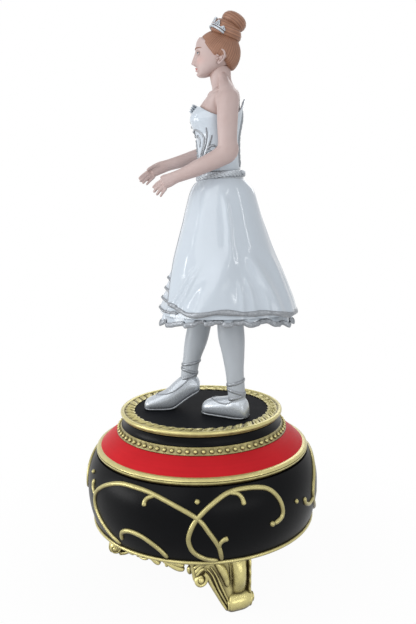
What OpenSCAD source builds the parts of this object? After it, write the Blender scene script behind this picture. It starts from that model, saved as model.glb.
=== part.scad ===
// Ballerina jewellery box: a footed bowl with a lift-off lid, a turning platform that carries
// the dancer, and a wind-up musical movement below the jewel tray.
// The dancer faces -Y, the dancer's left is +X and +Z is up. The origin is on the table, on the box axis.

/* [Stand] */
// Height of the feet, up to the base ring
foot_h = 30.2; // [26:0.2:36]
// Radius at which the toes stand
toe_place_r = 53.5; // [51:0.5:55]
// Radius of a toe roll
toe_r = 5.2; // [4.6:0.1:5.8]
// Width of a leg across its two ribs
leg_w = 13; // [11:0.5:15]
// Thickness of the base ring
ring_t = 1.8; // [1.4:0.1:2.6]
// Radius of the screws that hold the feet
foot_screw_r = 1.5; // [1.2:0.1:2]

/* [Bowl] */
// Greatest radius of the bowl
bowl_r = 67.5; // [65:0.5:72]
// Radius of the bowl's bottom edge
base_r = 63.8; // [62:0.2:65]
// Radius of the bowl at the parting line
mouth_r = 60.6; // [60:0.2:62]
// Height of the bowl, from its bottom edge to the parting line
bowl_h = 38.6; // [37:0.2:44]
// Height of the widest place above the bottom edge
belly_h = 19.2; // [16:0.2:23]
// Thickness of the bowl's wall
bowl_wall = 3; // [2.4:0.1:3.6]
// Thickness of the bowl's floor
bowl_floor = 3; // [2.4:0.2:4]
// Width of the raised scroll stems
stem_w = 2.4; // [1.6:0.1:3]
// Height of the raised scroll stems
stem_h = 1.1; // [0.7:0.1:1.4]

/* [Jewel tray] */
// Depth from the parting line to the underside of the tray
tray_drop = 13.6; // [12:0.2:14]
// Thickness of the tray's wall and floor
tray_t = 1.2; // [0.8:0.1:1.6]
// Radius of the tray's centre tube, inside
tube_r = 6.2; // [5.8:0.1:8]

/* [Lid] */
// Height of the red shoulder
shoulder_h = 8.8; // [7:0.2:12]
// Radius at the top of the red shoulder
shoulder_r = 50.2; // [49.6:0.2:51.4]
// Height of the beaded ring
bead_band_h = 3.8; // [3.4:0.2:5.4]
// Radius of one bead
bead_r = 1.05; // [0.8:0.05:1.3]
// Number of beads
bead_count = 72; // [48:1:84]
// Height of the black neck
neck_h = 4.2; // [3.4:0.2:6]
// Clearance of parts that drop into each other
drop_fit = 0.3; // [0.2:0.05:0.5]

/* [Turntable] */
// Radius of the black platform disc
disc_r = 40.4; // [39:0.2:43]
// Thickness of the platform disc
disc_t = 2.3; // [2.2:0.1:4]
// Outer radius of the gold rim
rim_r = 48; // [46:0.2:49]
// Height of the gold rim
rim_h = 3.6; // [3:0.1:4.6]
// Gap between the platform and the neck
turn_gap = 0.5; // [0.4:0.1:1]
// Radius of the turntable shaft
shaft_r = 3; // [2.6:0.1:3.4]
// Running clearance of shafts in their bearings
run_fit = 0.05; // [0.02:0.01:0.08]
// Radius of the pins that hold the dancer
figure_pin_r = 1; // [0.8:0.1:1.2]

/* [Dancer] */
// Height of the dancer, from the platform to the top of the bun
figure_h = 234; // [224:1:240]

/* [Movement] */
// Thickness of the bedplate
bed_t = 2.4; // [2:0.1:3]
// Radius of the spring barrel
barrel_r = 14.5; // [12:0.5:15]
// Height of the spring barrel
barrel_h = 11; // [10:0.2:11.2]
// Radius of the winding arbor
arbor_r = 2.5; // [2.2:0.1:2.8]
// Teeth of the crown wheel
crown_teeth = 36; // [32:4:40]
// Teeth of the cylinder pinion
pinion_teeth = 9; // [8:1:10]
// Radius of the crown wheel at the middle of its teeth
crown_r = 18.5; // [18:0.1:19]
// Radius of the music cylinder
cylinder_r = 6.8; // [6:0.1:6.8]
// Length of the music cylinder
cylinder_l = 22; // [20:0.5:23]
// Number of comb teeth
comb_teeth = 18; // [12:1:20]
// Height of the pins on the music cylinder
note_pin_h = 0.7; // [0.5:0.05:0.8]

/* [Hidden] */
$fn = 64;

gold = "goldenrod";
black = [0.1, 0.1, 0.12];
red = [0.75, 0.08, 0.13];
white = [0.85, 0.87, 0.9];
silver = "silver";
skin = [0.83, 0.68, 0.64];
auburn = [0.5, 0.32, 0.24];
brass = [0.72, 0.56, 0.28];
steel = [0.6, 0.62, 0.65];

// Heights of the box
base_z = foot_h + ring_t;
belly_z = base_z + belly_h;
seam_z = base_z + bowl_h;
floor_z = base_z + bowl_floor;
shoulder_z = seam_z + shoulder_h;
band_z = shoulder_z + bead_band_h;
neck_z = band_z + neck_h;
platform_z = neck_z + turn_gap;
stage_z = platform_z + disc_t;

// Mouth of the bowl, where the lid and the tray drop in
rebate_r = mouth_r - 1;
lip_h = 2.4;
lid_lip_h = 1.6;
lip_z = seam_z - lip_h;
mouth_in_r = rebate_r - 2.6;
ledge_r = mouth_in_r - 1.8;
ledge_z = seam_z - 4.2;
spigot_h = 2.2;
spigot_r = mouth_in_r - drop_fit;
spigot_t = 1.7;
liner_t = 1.2;
liner_seat_z = seam_z + 1.8;
tray_z = seam_z - tray_drop;
seal_gap = 0.15;
arbor_hole_r = arbor_r + 1.5;

// Neck and bearing
neck_r = shoulder_r - 2.8;
neck_seat_r = shoulder_r - 4;
bush_r = 5.5;
bush_drop = 5.4;
bush_flange_r = 8;
shaft_flange_r = 9;
shaft_flange_t = 1.2;
clip_t = 0.8;
clip_r = 5.4;
socket_r = 5;
socket_h = 5.5;
socket_z = seam_z - 5.2;
tang_t = 1.6;
tang_w = 6;
tang_fit = 0.3;

// Belly of the bowl: radius at a height
function belly(z) = z < belly_z
    ? bowl_r - (bowl_r - base_r) * pow((belly_z - z) / belly_h, 2.2)
    : bowl_r - (bowl_r - mouth_r) * pow((z - belly_z) / (seam_z - belly_z), 2.4);

// Curves through stations, and lofts through rings of points
function between(a, b, c, d, t) = 0.5 * (2 * b + (c - a) * t + (2 * a - 5 * b + 4 * c - d) * t * t
    + (3 * b - a - 3 * c + d) * t * t * t);
function smooth(s, steps) = let (last = len(s) - 1) [
    for (i = [0 : last - 1], k = [0 : steps - 1])
        between(s[max(i - 1, 0)], s[i], s[i + 1], s[min(i + 2, last)], k / steps),
    s[last]
];
function unit(v) = v / norm(v);
// One level ring: station [z, x, y, half width, half depth]
function level_ring(s, n) = [
    for (j = [0 : n - 1]) [s[1] + s[3] * cos(360 * j / n), s[2] + s[4] * sin(360 * j / n), s[0]]
];
function level_rings(stations, n, steps) = [for (s = smooth(stations, steps)) level_ring(s, n)];
// Rings square to a path: station [x, y, z, half width across X, half height]
function path_rings(stations, n, steps) = let (s = smooth(stations, steps), last = len(s) - 1) [
    for (i = [0 : last])
        let (
            a = s[max(i - 1, 0)],
            b = s[min(i + 1, last)],
            along = unit([b[0] - a[0], b[1] - a[1], b[2] - a[2]]),
            across = unit([1, 0, 0] - along[0] * along),
            up = cross(along, across)
        ) [
            for (j = [0 : n - 1])
                [s[i][0], s[i][1], s[i][2]] + s[i][3] * cos(360 * j / n) * across
                    + s[i][4] * sin(360 * j / n) * up
        ]
];
module loft(rings) {
    n = len(rings[0]);
    last = len(rings) - 1;
    polyhedron(
        points = [for (ring = rings) each ring],
        faces = [
            [for (j = [0 : n - 1]) j],
            [for (j = [n - 1 : -1 : 0]) last * n + j],
            for (i = [0 : last - 1], j = [0 : n - 1])
                let (a = i * n + j, b = i * n + (j + 1) % n)
                    each [[a, a + n, b + n], [a, b + n, b]]
        ]
    );
}

// The stand

leg_top_r = toe_place_r + 6;
leg_back_r = toe_place_r - 5.5;
toe_l = leg_w + 1.5;
toe_flat = 0.35;
volute_r = 3.7;
volute_t = -22;
volute_z = foot_h - 11.6;
bracket_end = 5;
bracket_r = leg_top_r - 6.5;
bracket_t = 4;
ring_in_r = leg_back_r - 2;
foot_turn = 25;
foot_angles = [foot_turn - 120, foot_turn, foot_turn + 120];
screw_grip = 9;
screw_place_r = leg_back_r + 4;

module toe_roll() {
    rise = toe_r * 0.82;
    translate([toe_place_r, 0, toe_r - toe_flat])
        rotate([90, 0, 0])
            rotate_extrude()
                polygon([
                    [0, -toe_l / 2],
                    for (k = [-6 : 6]) [rise + (toe_r - rise) * cos(15 * k), k * toe_l / 12],
                    [0, toe_l / 2]
                ]);
}

// Side view of the leg: a knee that bulges under the ring, a waist, and the toe
module leg_outline(inset) {
    polygon([
        [leg_back_r, foot_h],
        for (a = [0 : 10 : 180])
            [
                leg_top_r - inset - 2.2 * (1 - cos(a)) + 0.7 * sin(a),
                foot_h - (foot_h - 2 * toe_r) * a / 180
            ],
        [toe_place_r, 2 * toe_r - 1],
        [toe_place_r - 1, 0.4],
        [leg_back_r + 1, 0.4],
        [leg_back_r + 2, foot_h / 2]
    ]);
}

module leg_slab(width, inset) {
    rotate([90, 0, 0])
        linear_extrude(width, center = true)
            leg_outline(inset);
}

// The bracket on one side of the leg, ending in a volute
module bracket() {
    translate([bracket_r, 0, 0])
        rotate([90, 0, 90])
            linear_extrude(bracket_t)
                difference() {
                    union() {
                        polygon([
                            [-leg_w / 2 + 1, foot_h],
                            [volute_t - bracket_end, foot_h],
                            [volute_t - bracket_end + 0.4, foot_h - 3.4],
                            [volute_t - volute_r - 0.4, foot_h - 7],
                            [volute_t - volute_r, volute_z],
                            [volute_t, volute_z],
                            [volute_t + volute_r, volute_z + 1],
                            [-leg_w / 2 + 1, volute_z - 8]
                        ]);
                        translate([volute_t, volute_z])
                            circle(volute_r);
                    }
                    translate([volute_t + volute_r + 3.4, volute_z - 5])
                        circle(5);
                }
    translate([bracket_r + bracket_t - 0.5, volute_t, volute_z])
        rotate([0, 90, 0])
            cylinder(h = 1.6, r = volute_r * 0.6);
}

module foot(angle) {
    color(gold)
        rotate([0, 0, angle])
            difference() {
                union() {
                    leg_slab(leg_w - 4, 1.1);
                    for (side = [-1, 1])
                        translate([0, side * (leg_w / 2 - 1), 0])
                            leg_slab(2.2, 0);
                    toe_roll();
                    bracket();
                }
                translate([screw_place_r, 0, foot_h - screw_grip])
                    cylinder(h = screw_grip + 1, r = foot_screw_r);
                translate([toe_place_r - 20, -20, -10])
                    cube([40, 40, 10]);
            }
}

// Curved bands between the feet, deeper towards the next bracket
apron_from = asin((leg_w / 2 + 0.6) / leg_top_r);
apron_to = 120 + asin((volute_t - bracket_end - 0.6) / bracket_r);
module apron_bands() {
    thick = 2.6;
    inset = 0.3;
    span = apron_to - apron_from;
    color(gold)
        for (foot_angle = foot_angles)
            rotate([0, 0, foot_angle + apron_from])
                union() {
                    rotate_extrude(angle = span)
                        translate([leg_top_r - 4, foot_h - 2.8])
                            square([thick, 2.8]);
                    rotate([0, 0, span * 0.66])
                        rotate_extrude(angle = span * 0.34 - 0.4)
                            translate([leg_top_r - 4 + inset, foot_h - 4.6])
                                square([thick - 2 * inset, 4]);
                }
}

module base_ring() {
    color(gold)
        difference() {
            rotate_extrude()
                union() {
                    translate([ring_in_r, foot_h])
                        square([base_r - ring_in_r, ring_t]);
                    translate([base_r, foot_h + ring_t / 2])
                        circle(ring_t / 2);
                }
            foot_screw_holes();
        }
}

module foot_screw_holes() {
    for (a = foot_angles)
        rotate([0, 0, a])
            translate([screw_place_r, 0, foot_h - 1])
                cylinder(h = ring_t + bowl_floor + 2, r = foot_screw_r);
}

screw_head_h = 1.6;
module foot_screws() {
    color(steel)
        for (a = foot_angles)
            rotate([0, 0, a])
                translate([screw_place_r, 0, 0]) {
                    translate([0, 0, foot_h - screw_grip + 0.5])
                        cylinder(h = floor_z - foot_h + screw_grip - 0.5, r = foot_screw_r);
                    translate([0, 0, floor_z])
                        cylinder(h = screw_head_h, r = foot_screw_r * 2);
                }
}

// The bowl

module bowl() {
    steps = 18;
    wall_top = ledge_z - 4;
    color(black)
        difference() {
            rotate_extrude()
                polygon([
                    [arbor_hole_r, base_z],
                    for (k = [0 : steps])
                        let (z = base_z + (lip_z - base_z) * k / steps) [belly(z), z],
                    [rebate_r, lip_z],
                    [rebate_r, seam_z],
                    [mouth_in_r, seam_z],
                    [mouth_in_r, ledge_z],
                    [ledge_r, ledge_z],
                    [ledge_r, ledge_z - 1.6],
                    for (k = [steps : -1 : 0])
                        let (z = floor_z + (wall_top - floor_z) * k / steps) [belly(z) - bowl_wall, z],
                    [arbor_hole_r, floor_z]
                ]);
            foot_screw_holes();
            bedplate_screw_places()
                translate([0, 0, base_z + 0.6])
                    cylinder(h = bowl_floor, r = bed_screw_r);
        }
}

// A ring with a half-round bead standing out of its seat
module bead_moulding(seat_r, z0, z1, proud) {
    bead = (z1 - z0) / 2;
    rotate_extrude()
        intersection() {
            union() {
                translate([seat_r, z0])
                    square([proud, 2 * bead]);
                translate([seat_r + proud, z0 + bead])
                    circle(bead);
            }
            translate([seat_r, z0])
                square([proud + 2 * bead, 2 * bead]);
        }
}

module bowl_moulding() {
    color(gold)
        bead_moulding(rebate_r, lip_z, seam_z - seal_gap, mouth_r - rebate_r + 0.6);
}

// Scroll stems, as [angle, share of the height from the bottom edge to the parting line]
motif_turns = [1.5, 127.5, 241.5];
stem_long = [
    [-40, 0.03], [-49, 0.15], [-58, 0.37], [-58, 0.57], [-51, 0.74], [-41, 0.85], [-31, 0.87],
    [-21, 0.84], [-10, 0.74], [0, 0.59], [5, 0.4], [9, 0.2], [10, 0.02]
];
stem_return = [
    [4, 0.02], [-2, 0.12], [-4, 0.29], [-3, 0.44], [0, 0.59], [6, 0.75], [14, 0.87], [24, 0.89],
    [33, 0.84], [38, 0.7], [40, 0.53], [39, 0.43], [35, 0.38]
];
stem_arch = [[-38, 0.12], [-37, 0.24], [-32, 0.3], [-25, 0.27], [-18, 0.15], [-14, 0.02]];
hooks = [
    [[-21, 0.84], [-24, 0.77], [-24, 0.68]],
    [[16, 0.88], [20, 0.82], [20.5, 0.7]],
    [[9, 0.2], [10, 0.28], [13, 0.32]]
];
dots = [[34, 0.39, 1.9], [0, 0.79, 1.7]];
// Hooks and dots that differ from one motif to the next, at their own angles
side_hooks = [
    [[-56.5, 0.55], [-60, 0.62], [-60.5, 0.73]],
    [[69.5, 0.42], [64, 0.38], [59, 0.44], [58, 0.53]],
    [[183.5, 0.55], [180, 0.62], [179.5, 0.73]]
];
side_dots = [[-64.5, 0.79, 1.6], [51, 0.55, 1.6], [171, 0.66, 1.6]];

function stem_z(p) = base_z + p[1] * bowl_h;
function bowl_slope(p) = (belly(stem_z(p) + 0.1) - belly(stem_z(p) - 0.1)) / 0.2;
function bowl_normal(p) = unit([cos(p[0]), sin(p[0]), -bowl_slope(p)]);
function on_bowl(p, lift) = let (z = stem_z(p), r = belly(z))
    [r * cos(p[0]), r * sin(p[0]), z] + lift * bowl_normal(p);

// Rings of a stem that lies on the bowl, flat side inward
function stem_rings(points, width, height) = let (
        course = smooth(points, 3),
        p = [for (q = course) on_bowl(q, 0.08)],
        last = len(p) - 1
    ) [
        for (i = [0 : last])
            let (
                along = unit(p[min(i + 1, last)] - p[max(i - 1, 0)]),
                side = unit(cross(along, bowl_normal(course[i]))),
                out = cross(side, along),
                end = i == 0 || i == last ? 0.45 : 1
            ) [
                p[i] - side * width / 2 * end,
                p[i] - side * width * 0.36 * end + out * height * 0.7 * end,
                p[i] + out * height * end,
                p[i] + side * width * 0.36 * end + out * height * 0.7 * end,
                p[i] + side * width / 2 * end
            ]
    ];

module scroll_dot(d) {
    translate(on_bowl(d, 0.08))
        rotate([0, 90 + atan(bowl_slope(d)), d[0]])
            rotate_extrude()
                intersection() {
                    circle(d[2] * 0.8);
                    square(d[2]);
                }
}

module bowl_scrollwork() {
    color(gold) {
        for (k = [0 : len(motif_turns) - 1]) {
            union() {
                rotate([0, 0, motif_turns[k]]) {
                    loft(stem_rings(stem_long, stem_w, stem_h));
                    loft(stem_rings(stem_return, stem_w * 0.98, stem_h * 1.08));
                    for (h = hooks)
                        loft(stem_rings(h, stem_w * 0.9, stem_h * 0.92));
                }
                loft(stem_rings(side_hooks[k], stem_w * 0.9, stem_h * 0.92));
            }
            rotate([0, 0, motif_turns[k]]) {
                loft(stem_rings(stem_arch, stem_w, stem_h));
                for (d = dots)
                    scroll_dot(d);
            }
            scroll_dot(side_dots[k]);
        }
    }
}

// The jewel tray

module jewel_tray() {
    tube_out_r = tube_r + tray_t;
    wall_r = ledge_r - drop_fit;
    color("firebrick")
        rotate_extrude()
            polygon([
                [tube_r, tray_z],
                [wall_r, tray_z],
                [wall_r, ledge_z],
                [spigot_r, ledge_z],
                [spigot_r, ledge_z + tray_t],
                [wall_r - tray_t, ledge_z + tray_t],
                [wall_r - tray_t, tray_z + tray_t],
                [tube_out_r, tray_z + tray_t],
                [tube_out_r, ledge_z - 0.4],
                [tube_r, ledge_z - 0.4]
            ]);
}

// The lid

module lid_shell() {
    shell_in_r = spigot_r - spigot_t;
    color(red)
        rotate_extrude()
            polygon([
                [shell_in_r, seam_z - spigot_h],
                [spigot_r, seam_z - spigot_h],
                [spigot_r, seam_z],
                [rebate_r, seam_z],
                [rebate_r, seam_z + lid_lip_h],
                for (k = [1 : 9])
                    let (t = k / 9)
                        [
                            rebate_r + (shoulder_r - rebate_r) * t,
                            seam_z + lid_lip_h + (shoulder_h - lid_lip_h) * (t + 0.06 * sin(180 * t))
                        ],
                [neck_seat_r - 2.4, shoulder_z],
                [neck_seat_r - 2.4, shoulder_z - 2],
                [shoulder_r - 1.2, shoulder_z - 2.2],
                [shell_in_r - 2.4, liner_seat_z + 0.8],
                [shell_in_r - 2.4, liner_seat_z],
                [shell_in_r, liner_seat_z]
            ]);
}

module lid_moulding() {
    color(gold)
        bead_moulding(rebate_r, seam_z + seal_gap, seam_z + lid_lip_h, 0.9);
}

module bead_ring() {
    bead_place_r = (shoulder_r + neck_r + 0.4) / 2 - 0.1;
    color(gold)
        union() {
            rotate_extrude()
                polygon([
                    [neck_seat_r, shoulder_z],
                    [shoulder_r, shoulder_z],
                    [shoulder_r, shoulder_z + 0.8],
                    [neck_r + 0.4, band_z - 0.8],
                    [neck_r + 0.4, band_z],
                    [neck_seat_r, band_z]
                ]);
            for (k = [0 : bead_count - 1])
                rotate([0, 0, k * 360 / bead_count])
                    translate([bead_place_r, 0, (shoulder_z + band_z) / 2])
                        rotate([0, 60, 0])
                            sphere(bead_r);
        }
}

module lid_neck() {
    spigot = 2;
    cove = 1.4;
    color(black)
        rotate_extrude()
            polygon([
                [bush_r, band_z],
                [neck_seat_r - 2.2, band_z],
                [neck_seat_r - 2.2, band_z - spigot],
                [neck_seat_r, band_z - spigot],
                [neck_seat_r, band_z],
                for (a = [0 : 15 : 90]) [neck_r - cove * sin(a), band_z + neck_h * (1 - cos(a))],
                [bush_r, neck_z]
            ]);
}

module lid_liner() {
    liner_r = spigot_r - spigot_t - drop_fit;
    color("firebrick")
        translate([0, 0, liner_seat_z - liner_t])
            difference() {
                cylinder(h = liner_t, r = liner_r);
                translate([0, 0, -1])
                    cylinder(h = liner_t + 2, r = shaft_r + drop_fit);
            }
}

module turntable_bush() {
    color(brass)
        difference() {
            union() {
                translate([0, 0, neck_z - bush_drop])
                    cylinder(h = bush_drop, r = bush_r);
                translate([0, 0, neck_z])
                    cylinder(h = turn_gap, r = bush_flange_r);
            }
            translate([0, 0, neck_z - bush_drop - 1])
                cylinder(h = bush_drop + turn_gap + 2, r = shaft_r + run_fit);
        }
}

// The turntable

clip_z = neck_z - bush_drop - drop_fit - clip_t;
module turntable_disc() {
    color(black)
        difference() {
            translate([0, 0, platform_z])
                cylinder(h = disc_t, r = disc_r);
            translate([0, 0, platform_z - 1])
                cylinder(h = shaft_flange_t + 1, r = shaft_flange_r);
            figure_pin_holes();
        }
}

module turntable_rim() {
    edge = rim_h / 2;
    color(gold)
        rotate_extrude()
            union() {
                translate([disc_r, platform_z])
                    square([rim_r - edge - disc_r, rim_h]);
                translate([rim_r - edge, platform_z + edge])
                    circle(edge);
            }
}

module turntable_shaft() {
    color(steel)
        difference() {
            union() {
                translate([0, 0, socket_z + socket_h - 0.9])
                    cylinder(h = platform_z - socket_z - socket_h + 0.9, r = shaft_r);
                translate([0, 0, platform_z])
                    cylinder(h = shaft_flange_t, r = shaft_flange_r);
            }
            translate([0, 0, clip_z])
                difference() {
                    cylinder(h = clip_t, r = shaft_r + 1);
                    translate([0, 0, -1])
                        cylinder(h = clip_t + 2, r = shaft_r - 0.5);
                }
        }
}

module retaining_clip() {
    color(steel)
        translate([0, 0, clip_z])
            linear_extrude(clip_t)
                difference() {
                    circle(clip_r);
                    circle(shaft_r - 0.5);
                    translate([0, -shaft_r + 1])
                        square([clip_r + 1, 2 * (shaft_r - 1)]);
                }
}

module dog_socket() {
    slot_h = socket_h - 0.9;
    color(brass)
        translate([0, 0, socket_z])
            difference() {
                cylinder(h = socket_h, r = socket_r);
                translate([0, 0, slot_h])
                    cylinder(h = 2, r = shaft_r);
                translate([-socket_r - 1, -tang_t / 2 - tang_fit, -1])
                    cube([2 * socket_r + 2, tang_t + 2 * tang_fit, slot_h + 1]);
            }
}

// The dancer, in the frame of the platform's top face

figure_ref_h = 234;
figure_x = 7;
figure_k = figure_h / figure_ref_h;
pin_l = 5;
// Places of the two pins on the platform
pin_places = [[14, 13.5], [2, -22]];

// What stands above the waist keeps its shape and follows the waist's height
waist_ref_z = 136;
module above_waist() {
    on_stage()
        translate([0, 0, waist_z - waist_ref_z])
            children();
}

module on_stage() {
    translate([0, 0, stage_z])
        scale(figure_k)
            children();
}

module figure_pin_holes() {
    for (p = pin_places)
        translate([p[0] * figure_k, p[1] * figure_k, stage_z - disc_t - 1])
            cylinder(h = disc_t + 1 + pin_l - 1.2, r = figure_pin_r);
}

module figure_pins() {
    color(steel)
        for (p = pin_places)
            translate([p[0] * figure_k, p[1] * figure_k, stage_z - disc_t])
                cylinder(h = disc_t + pin_l - 1.4, r = figure_pin_r);
}

// A shoe: stations [distance from the heel, half width, sole height, upper height]
function shoe_rings(stations, ankle_z, n) = [
    for (s = smooth(stations, 2))
        [
            for (j = [0 : n - 1])
                let (a = 360 * j / n, mid = (s[2] + s[3]) / 2, half = (s[3] - s[2]) / 2)
                    [s[0], s[1] * cos(a), min(ankle_z, max(s[2], mid + half * 1.12 * sin(a)))]
        ]
];
left_ankle_z = 10;
right_ankle_z = 17;
left_shoe_stations = [
    [0, 2.6, 0.8, 7], [1.4, 4.4, 0.2, 10.4], [6, 5.4, 0, 12.6], [11, 5.4, 0, 11.4], [16, 5.6, 0, 10.2],
    [21, 5.6, 0, 9.2], [25.5, 4.8, 0, 8], [28.4, 2.6, 0.4, 5.6]
];
right_shoe_stations = [
    [0, 2.6, 11.2, 15.4], [1.4, 4.2, 9.8, 18], [6, 5, 7.2, 20], [11, 5, 3.8, 18.4], [15.5, 5.2, 0.8, 15],
    [20, 5.3, 0, 11.2], [25.5, 5.1, 0, 8.2], [30, 4, 0, 5.6], [33, 2, 0.4, 3]
];

module left_shoe() {
    color(silver)
        difference() {
            on_stage()
                translate([21.5, 27.5, 0])
                    rotate([0, 0, -118])
                        loft(shoe_rings(left_shoe_stations, left_ankle_z, 16));
            figure_pin_holes();
        }
}

module right_shoe() {
    color(silver)
        difference() {
            on_stage()
                translate([0, -0.5, 0])
                    rotate([0, 0, -86])
                        loft(shoe_rings(right_shoe_stations, right_ankle_z, 16));
            figure_pin_holes();
        }
}

// Legs, from the ankle up to the ceiling of the skirt
skirt_ceiling_z = 100;
module left_leg() {
    color(white)
        on_stage()
            loft(level_rings([
                [left_ankle_z, 19, 22, 4.4, 4.8], [18, 18.8, 21.4, 4.4, 5], [26, 18.4, 20.8, 4.8, 5.2],
                [36, 17.6, 20.2, 5.8, 6.4], [46, 17, 19.3, 6.8, 7.6], [60, 16, 18.5, 6.6, 7.4],
                [80, 15, 17.5, 7.4, 8], [skirt_ceiling_z, 14.6, 17, 8, 9]
            ], 14, 2));
}

module right_leg() {
    color(white)
        on_stage()
            loft(level_rings([
                [right_ankle_z, 0.4, -7, 4.2, 4.8], [24, 0.2, -6.2, 4.5, 5], [31, 0, -4.6, 5.2, 5.5],
                [41, -0.2, -2, 6.2, 6.9], [60, 0, 2.5, 6.6, 7.2], [80, 0.2, 8, 7.2, 8],
                [skirt_ceiling_z, -0.8, 14, 7.2, 9]
            ], 14, 2));
}

// The skirt: a bell with soft folds that deepen towards the hem
waist_z = 136;
hem_z = 58;
hem_lift = 4;
skirt_wall = 1.8;
petticoat_seat_z = hem_z + 8;
skirt_y = 16.6;
// Height at a share of the way from the hem up to the waist
function skirt_z(share) = hem_z + share * (waist_z - hem_z);
skirt_stations = [
    [waist_z, figure_x, 15.2, 15.4, 13.8], [skirt_z(0.92), figure_x, 15.4, 18, 18.2],
    [skirt_z(0.8), figure_x, 15.4, 20.3, 21], [skirt_z(0.67), figure_x, 15.4, 22.3, 23.6],
    [skirt_z(0.54), figure_x, 15.4, 24.6, 26.8], [skirt_z(0.42), figure_x, 15.6, 27, 30.1],
    [skirt_z(0.31), figure_x, 16.2, 29.2, 33.1], [skirt_z(0.18), figure_x, skirt_y, 31.6, 36.5],
    [petticoat_seat_z, figure_x, skirt_y, 33, 38.6], [hem_z, figure_x, skirt_y, 34.4, 40.6]
];
function fold(a, z) = let (depth = 0.035 * pow((waist_z - z) / (waist_z - hem_z), 1.5))
    1 + depth * (0.6 * cos(7 * a + 20) + 0.4 * cos(11 * a - 50));
function skirt_ring(s, n, wall) = [
    for (j = [0 : n - 1])
        let (a = 360 * j / n, f = fold(a, s[0]), low = s[0] - hem_z < 1 ? hem_lift * pow(cos(a), 2) : 0)
            [s[1] + (s[3] * f - wall) * cos(a), s[2] + (s[4] * f - wall) * sin(a), s[0] + low]
];
skirt_sides = 56;
module skirt() {
    last = len(skirt_stations) - 1;
    seat = skirt_stations[last - 1];
    inner_r = 22.4;
    color(white)
        on_stage()
            loft([
                [for (j = [0 : skirt_sides - 1]) let (a = 360 * j / skirt_sides)
                    [figure_x + inner_r * cos(a), 16 + inner_r * sin(a), skirt_ceiling_z]],
                [for (j = [0 : skirt_sides - 1]) let (a = 360 * j / skirt_sides)
                    [figure_x + inner_r * cos(a), 16 + inner_r * sin(a), petticoat_seat_z]],
                skirt_ring(seat, skirt_sides, skirt_wall),
                skirt_ring(skirt_stations[last], skirt_sides, skirt_wall),
                for (i = [last : -1 : 0])
                    skirt_ring(skirt_stations[i], skirt_sides, 0)
            ]);
}

// The petticoat hangs from the seat inside the skirt, flares below the hem and ends in scallops
petticoat_drop = 6;
module petticoat() {
    n = 72;
    pleats = 18;
    wall = 2;
    bottom_z = hem_z - petticoat_drop;
    function frill(z, half_x, half_y, wave, inset) = [
        for (j = [0 : n - 1])
            let (
                a = 360 * j / n,
                r = wave * cos(pleats * a) - inset,
                low = z < bottom_z + 0.1 ? 0.9 * hem_lift * pow(cos(a), 2) - 0.8 * cos(pleats * a) : 0
            )
                [figure_x + (half_x + r) * cos(a), skirt_y + (half_y + r) * sin(a), z + low]
    ];
    function layer(inset) = [
        frill(petticoat_seat_z, 30.4, 36.2, 0, inset), frill(hem_z, 30.6, 36.5, 0.3, inset),
        frill(bottom_z, 32.8, 38.8, 0.9, inset)
    ];
    outside = layer(0);
    inside = layer(wall);
    color(white)
        on_stage()
            ring_loft([
                inside[0], inside[1], inside[2],
                outside[2], outside[1], outside[0]
            ]);
}

// A loft whose last ring meets its first one again
module ring_loft(rings) {
    n = len(rings[0]);
    m = len(rings);
    polyhedron(
        points = [for (ring = rings) each ring],
        faces = [
            for (i = [0 : m - 1], j = [0 : n - 1])
                let (a = i * n + j, b = i * n + (j + 1) % n, c = ((i + 1) % m) * n + j,
                    d = ((i + 1) % m) * n + (j + 1) % n)
                    each [[a, c, d], [a, d, b]]
        ]
    );
}

sash_h = 4.4;
module sash() {
    z0 = waist_ref_z;
    z1 = waist_ref_z + sash_h;
    color(silver)
        above_waist()
            loft(level_rings([
                [z0, figure_x, 15, 15.6, 14], [z0 + 1.2, figure_x, 14.9, 16.2, 14.6],
                [z1 - 1.2, figure_x, 14.7, 16, 14.4], [z1, figure_x, 14.6, 15.3, 13.8]
            ], 32, 1));
}

// The strapless bodice: its top edge rises to the bust in front and to a point behind
bodice_z = waist_ref_z + sash_h;
bodice_floor_z = bodice_z + 27;
bodice_sides = 36;
module bodice() {
    n = bodice_sides;
    wall = 1.2;
    stations = [
        [bodice_z, figure_x, 14.5, 14.8, 13.2], [bodice_z + 9.6, figure_x, 14.4, 15, 13.2],
        [bodice_z + 19.6, figure_x, 14.3, 16.2, 13.4], [bodice_z + 25.6, figure_x, 13.8, 17.1, 14.5],
        [bodice_z + 29.6, figure_x, 13.7, 17.6, 15.1]
    ];
    function edge_z(a) = bodice_z + 31.2 + 8 * pow(max(0, -sin(a)), 1.3) - 1.6 * pow(max(0, -sin(a)), 16)
        + 11.4 * pow(max(0, sin(a)), 8);
    function stand_off(a) = 1.6 * pow(max(0, sin(a)), 6);
    function edge_ring(inset) = [
        for (j = [0 : n - 1])
            let (a = 360 * j / n)
                [
                    figure_x + (17.6 - inset) * cos(a),
                    14 + (14.6 + stand_off(a) - inset) * sin(a),
                    edge_z(a)
                ]
    ];
    floor_ring = [bodice_floor_z, figure_x, 13.7, 17.2 - wall, 14.6 - wall];
    color(white)
        above_waist()
            loft([
                each level_rings(stations, n, 1),
                edge_ring(0),
                edge_ring(wall),
                level_ring(floor_ring, n)
            ]);
}

// Skin: chest, neck and face in one casting, cut flat where the arms and the hair sit
seat_x = 17;
hair_plane_y = 5;
hair_plane_z = 218.2;
hair_tilt = 47.5;
module hair_half_space() {
    translate([figure_x, hair_plane_y, hair_plane_z])
        rotate([-hair_tilt, 0, 0])
            translate([-30, -5, 0])
                cube([60, 50, 40]);
}

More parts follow.
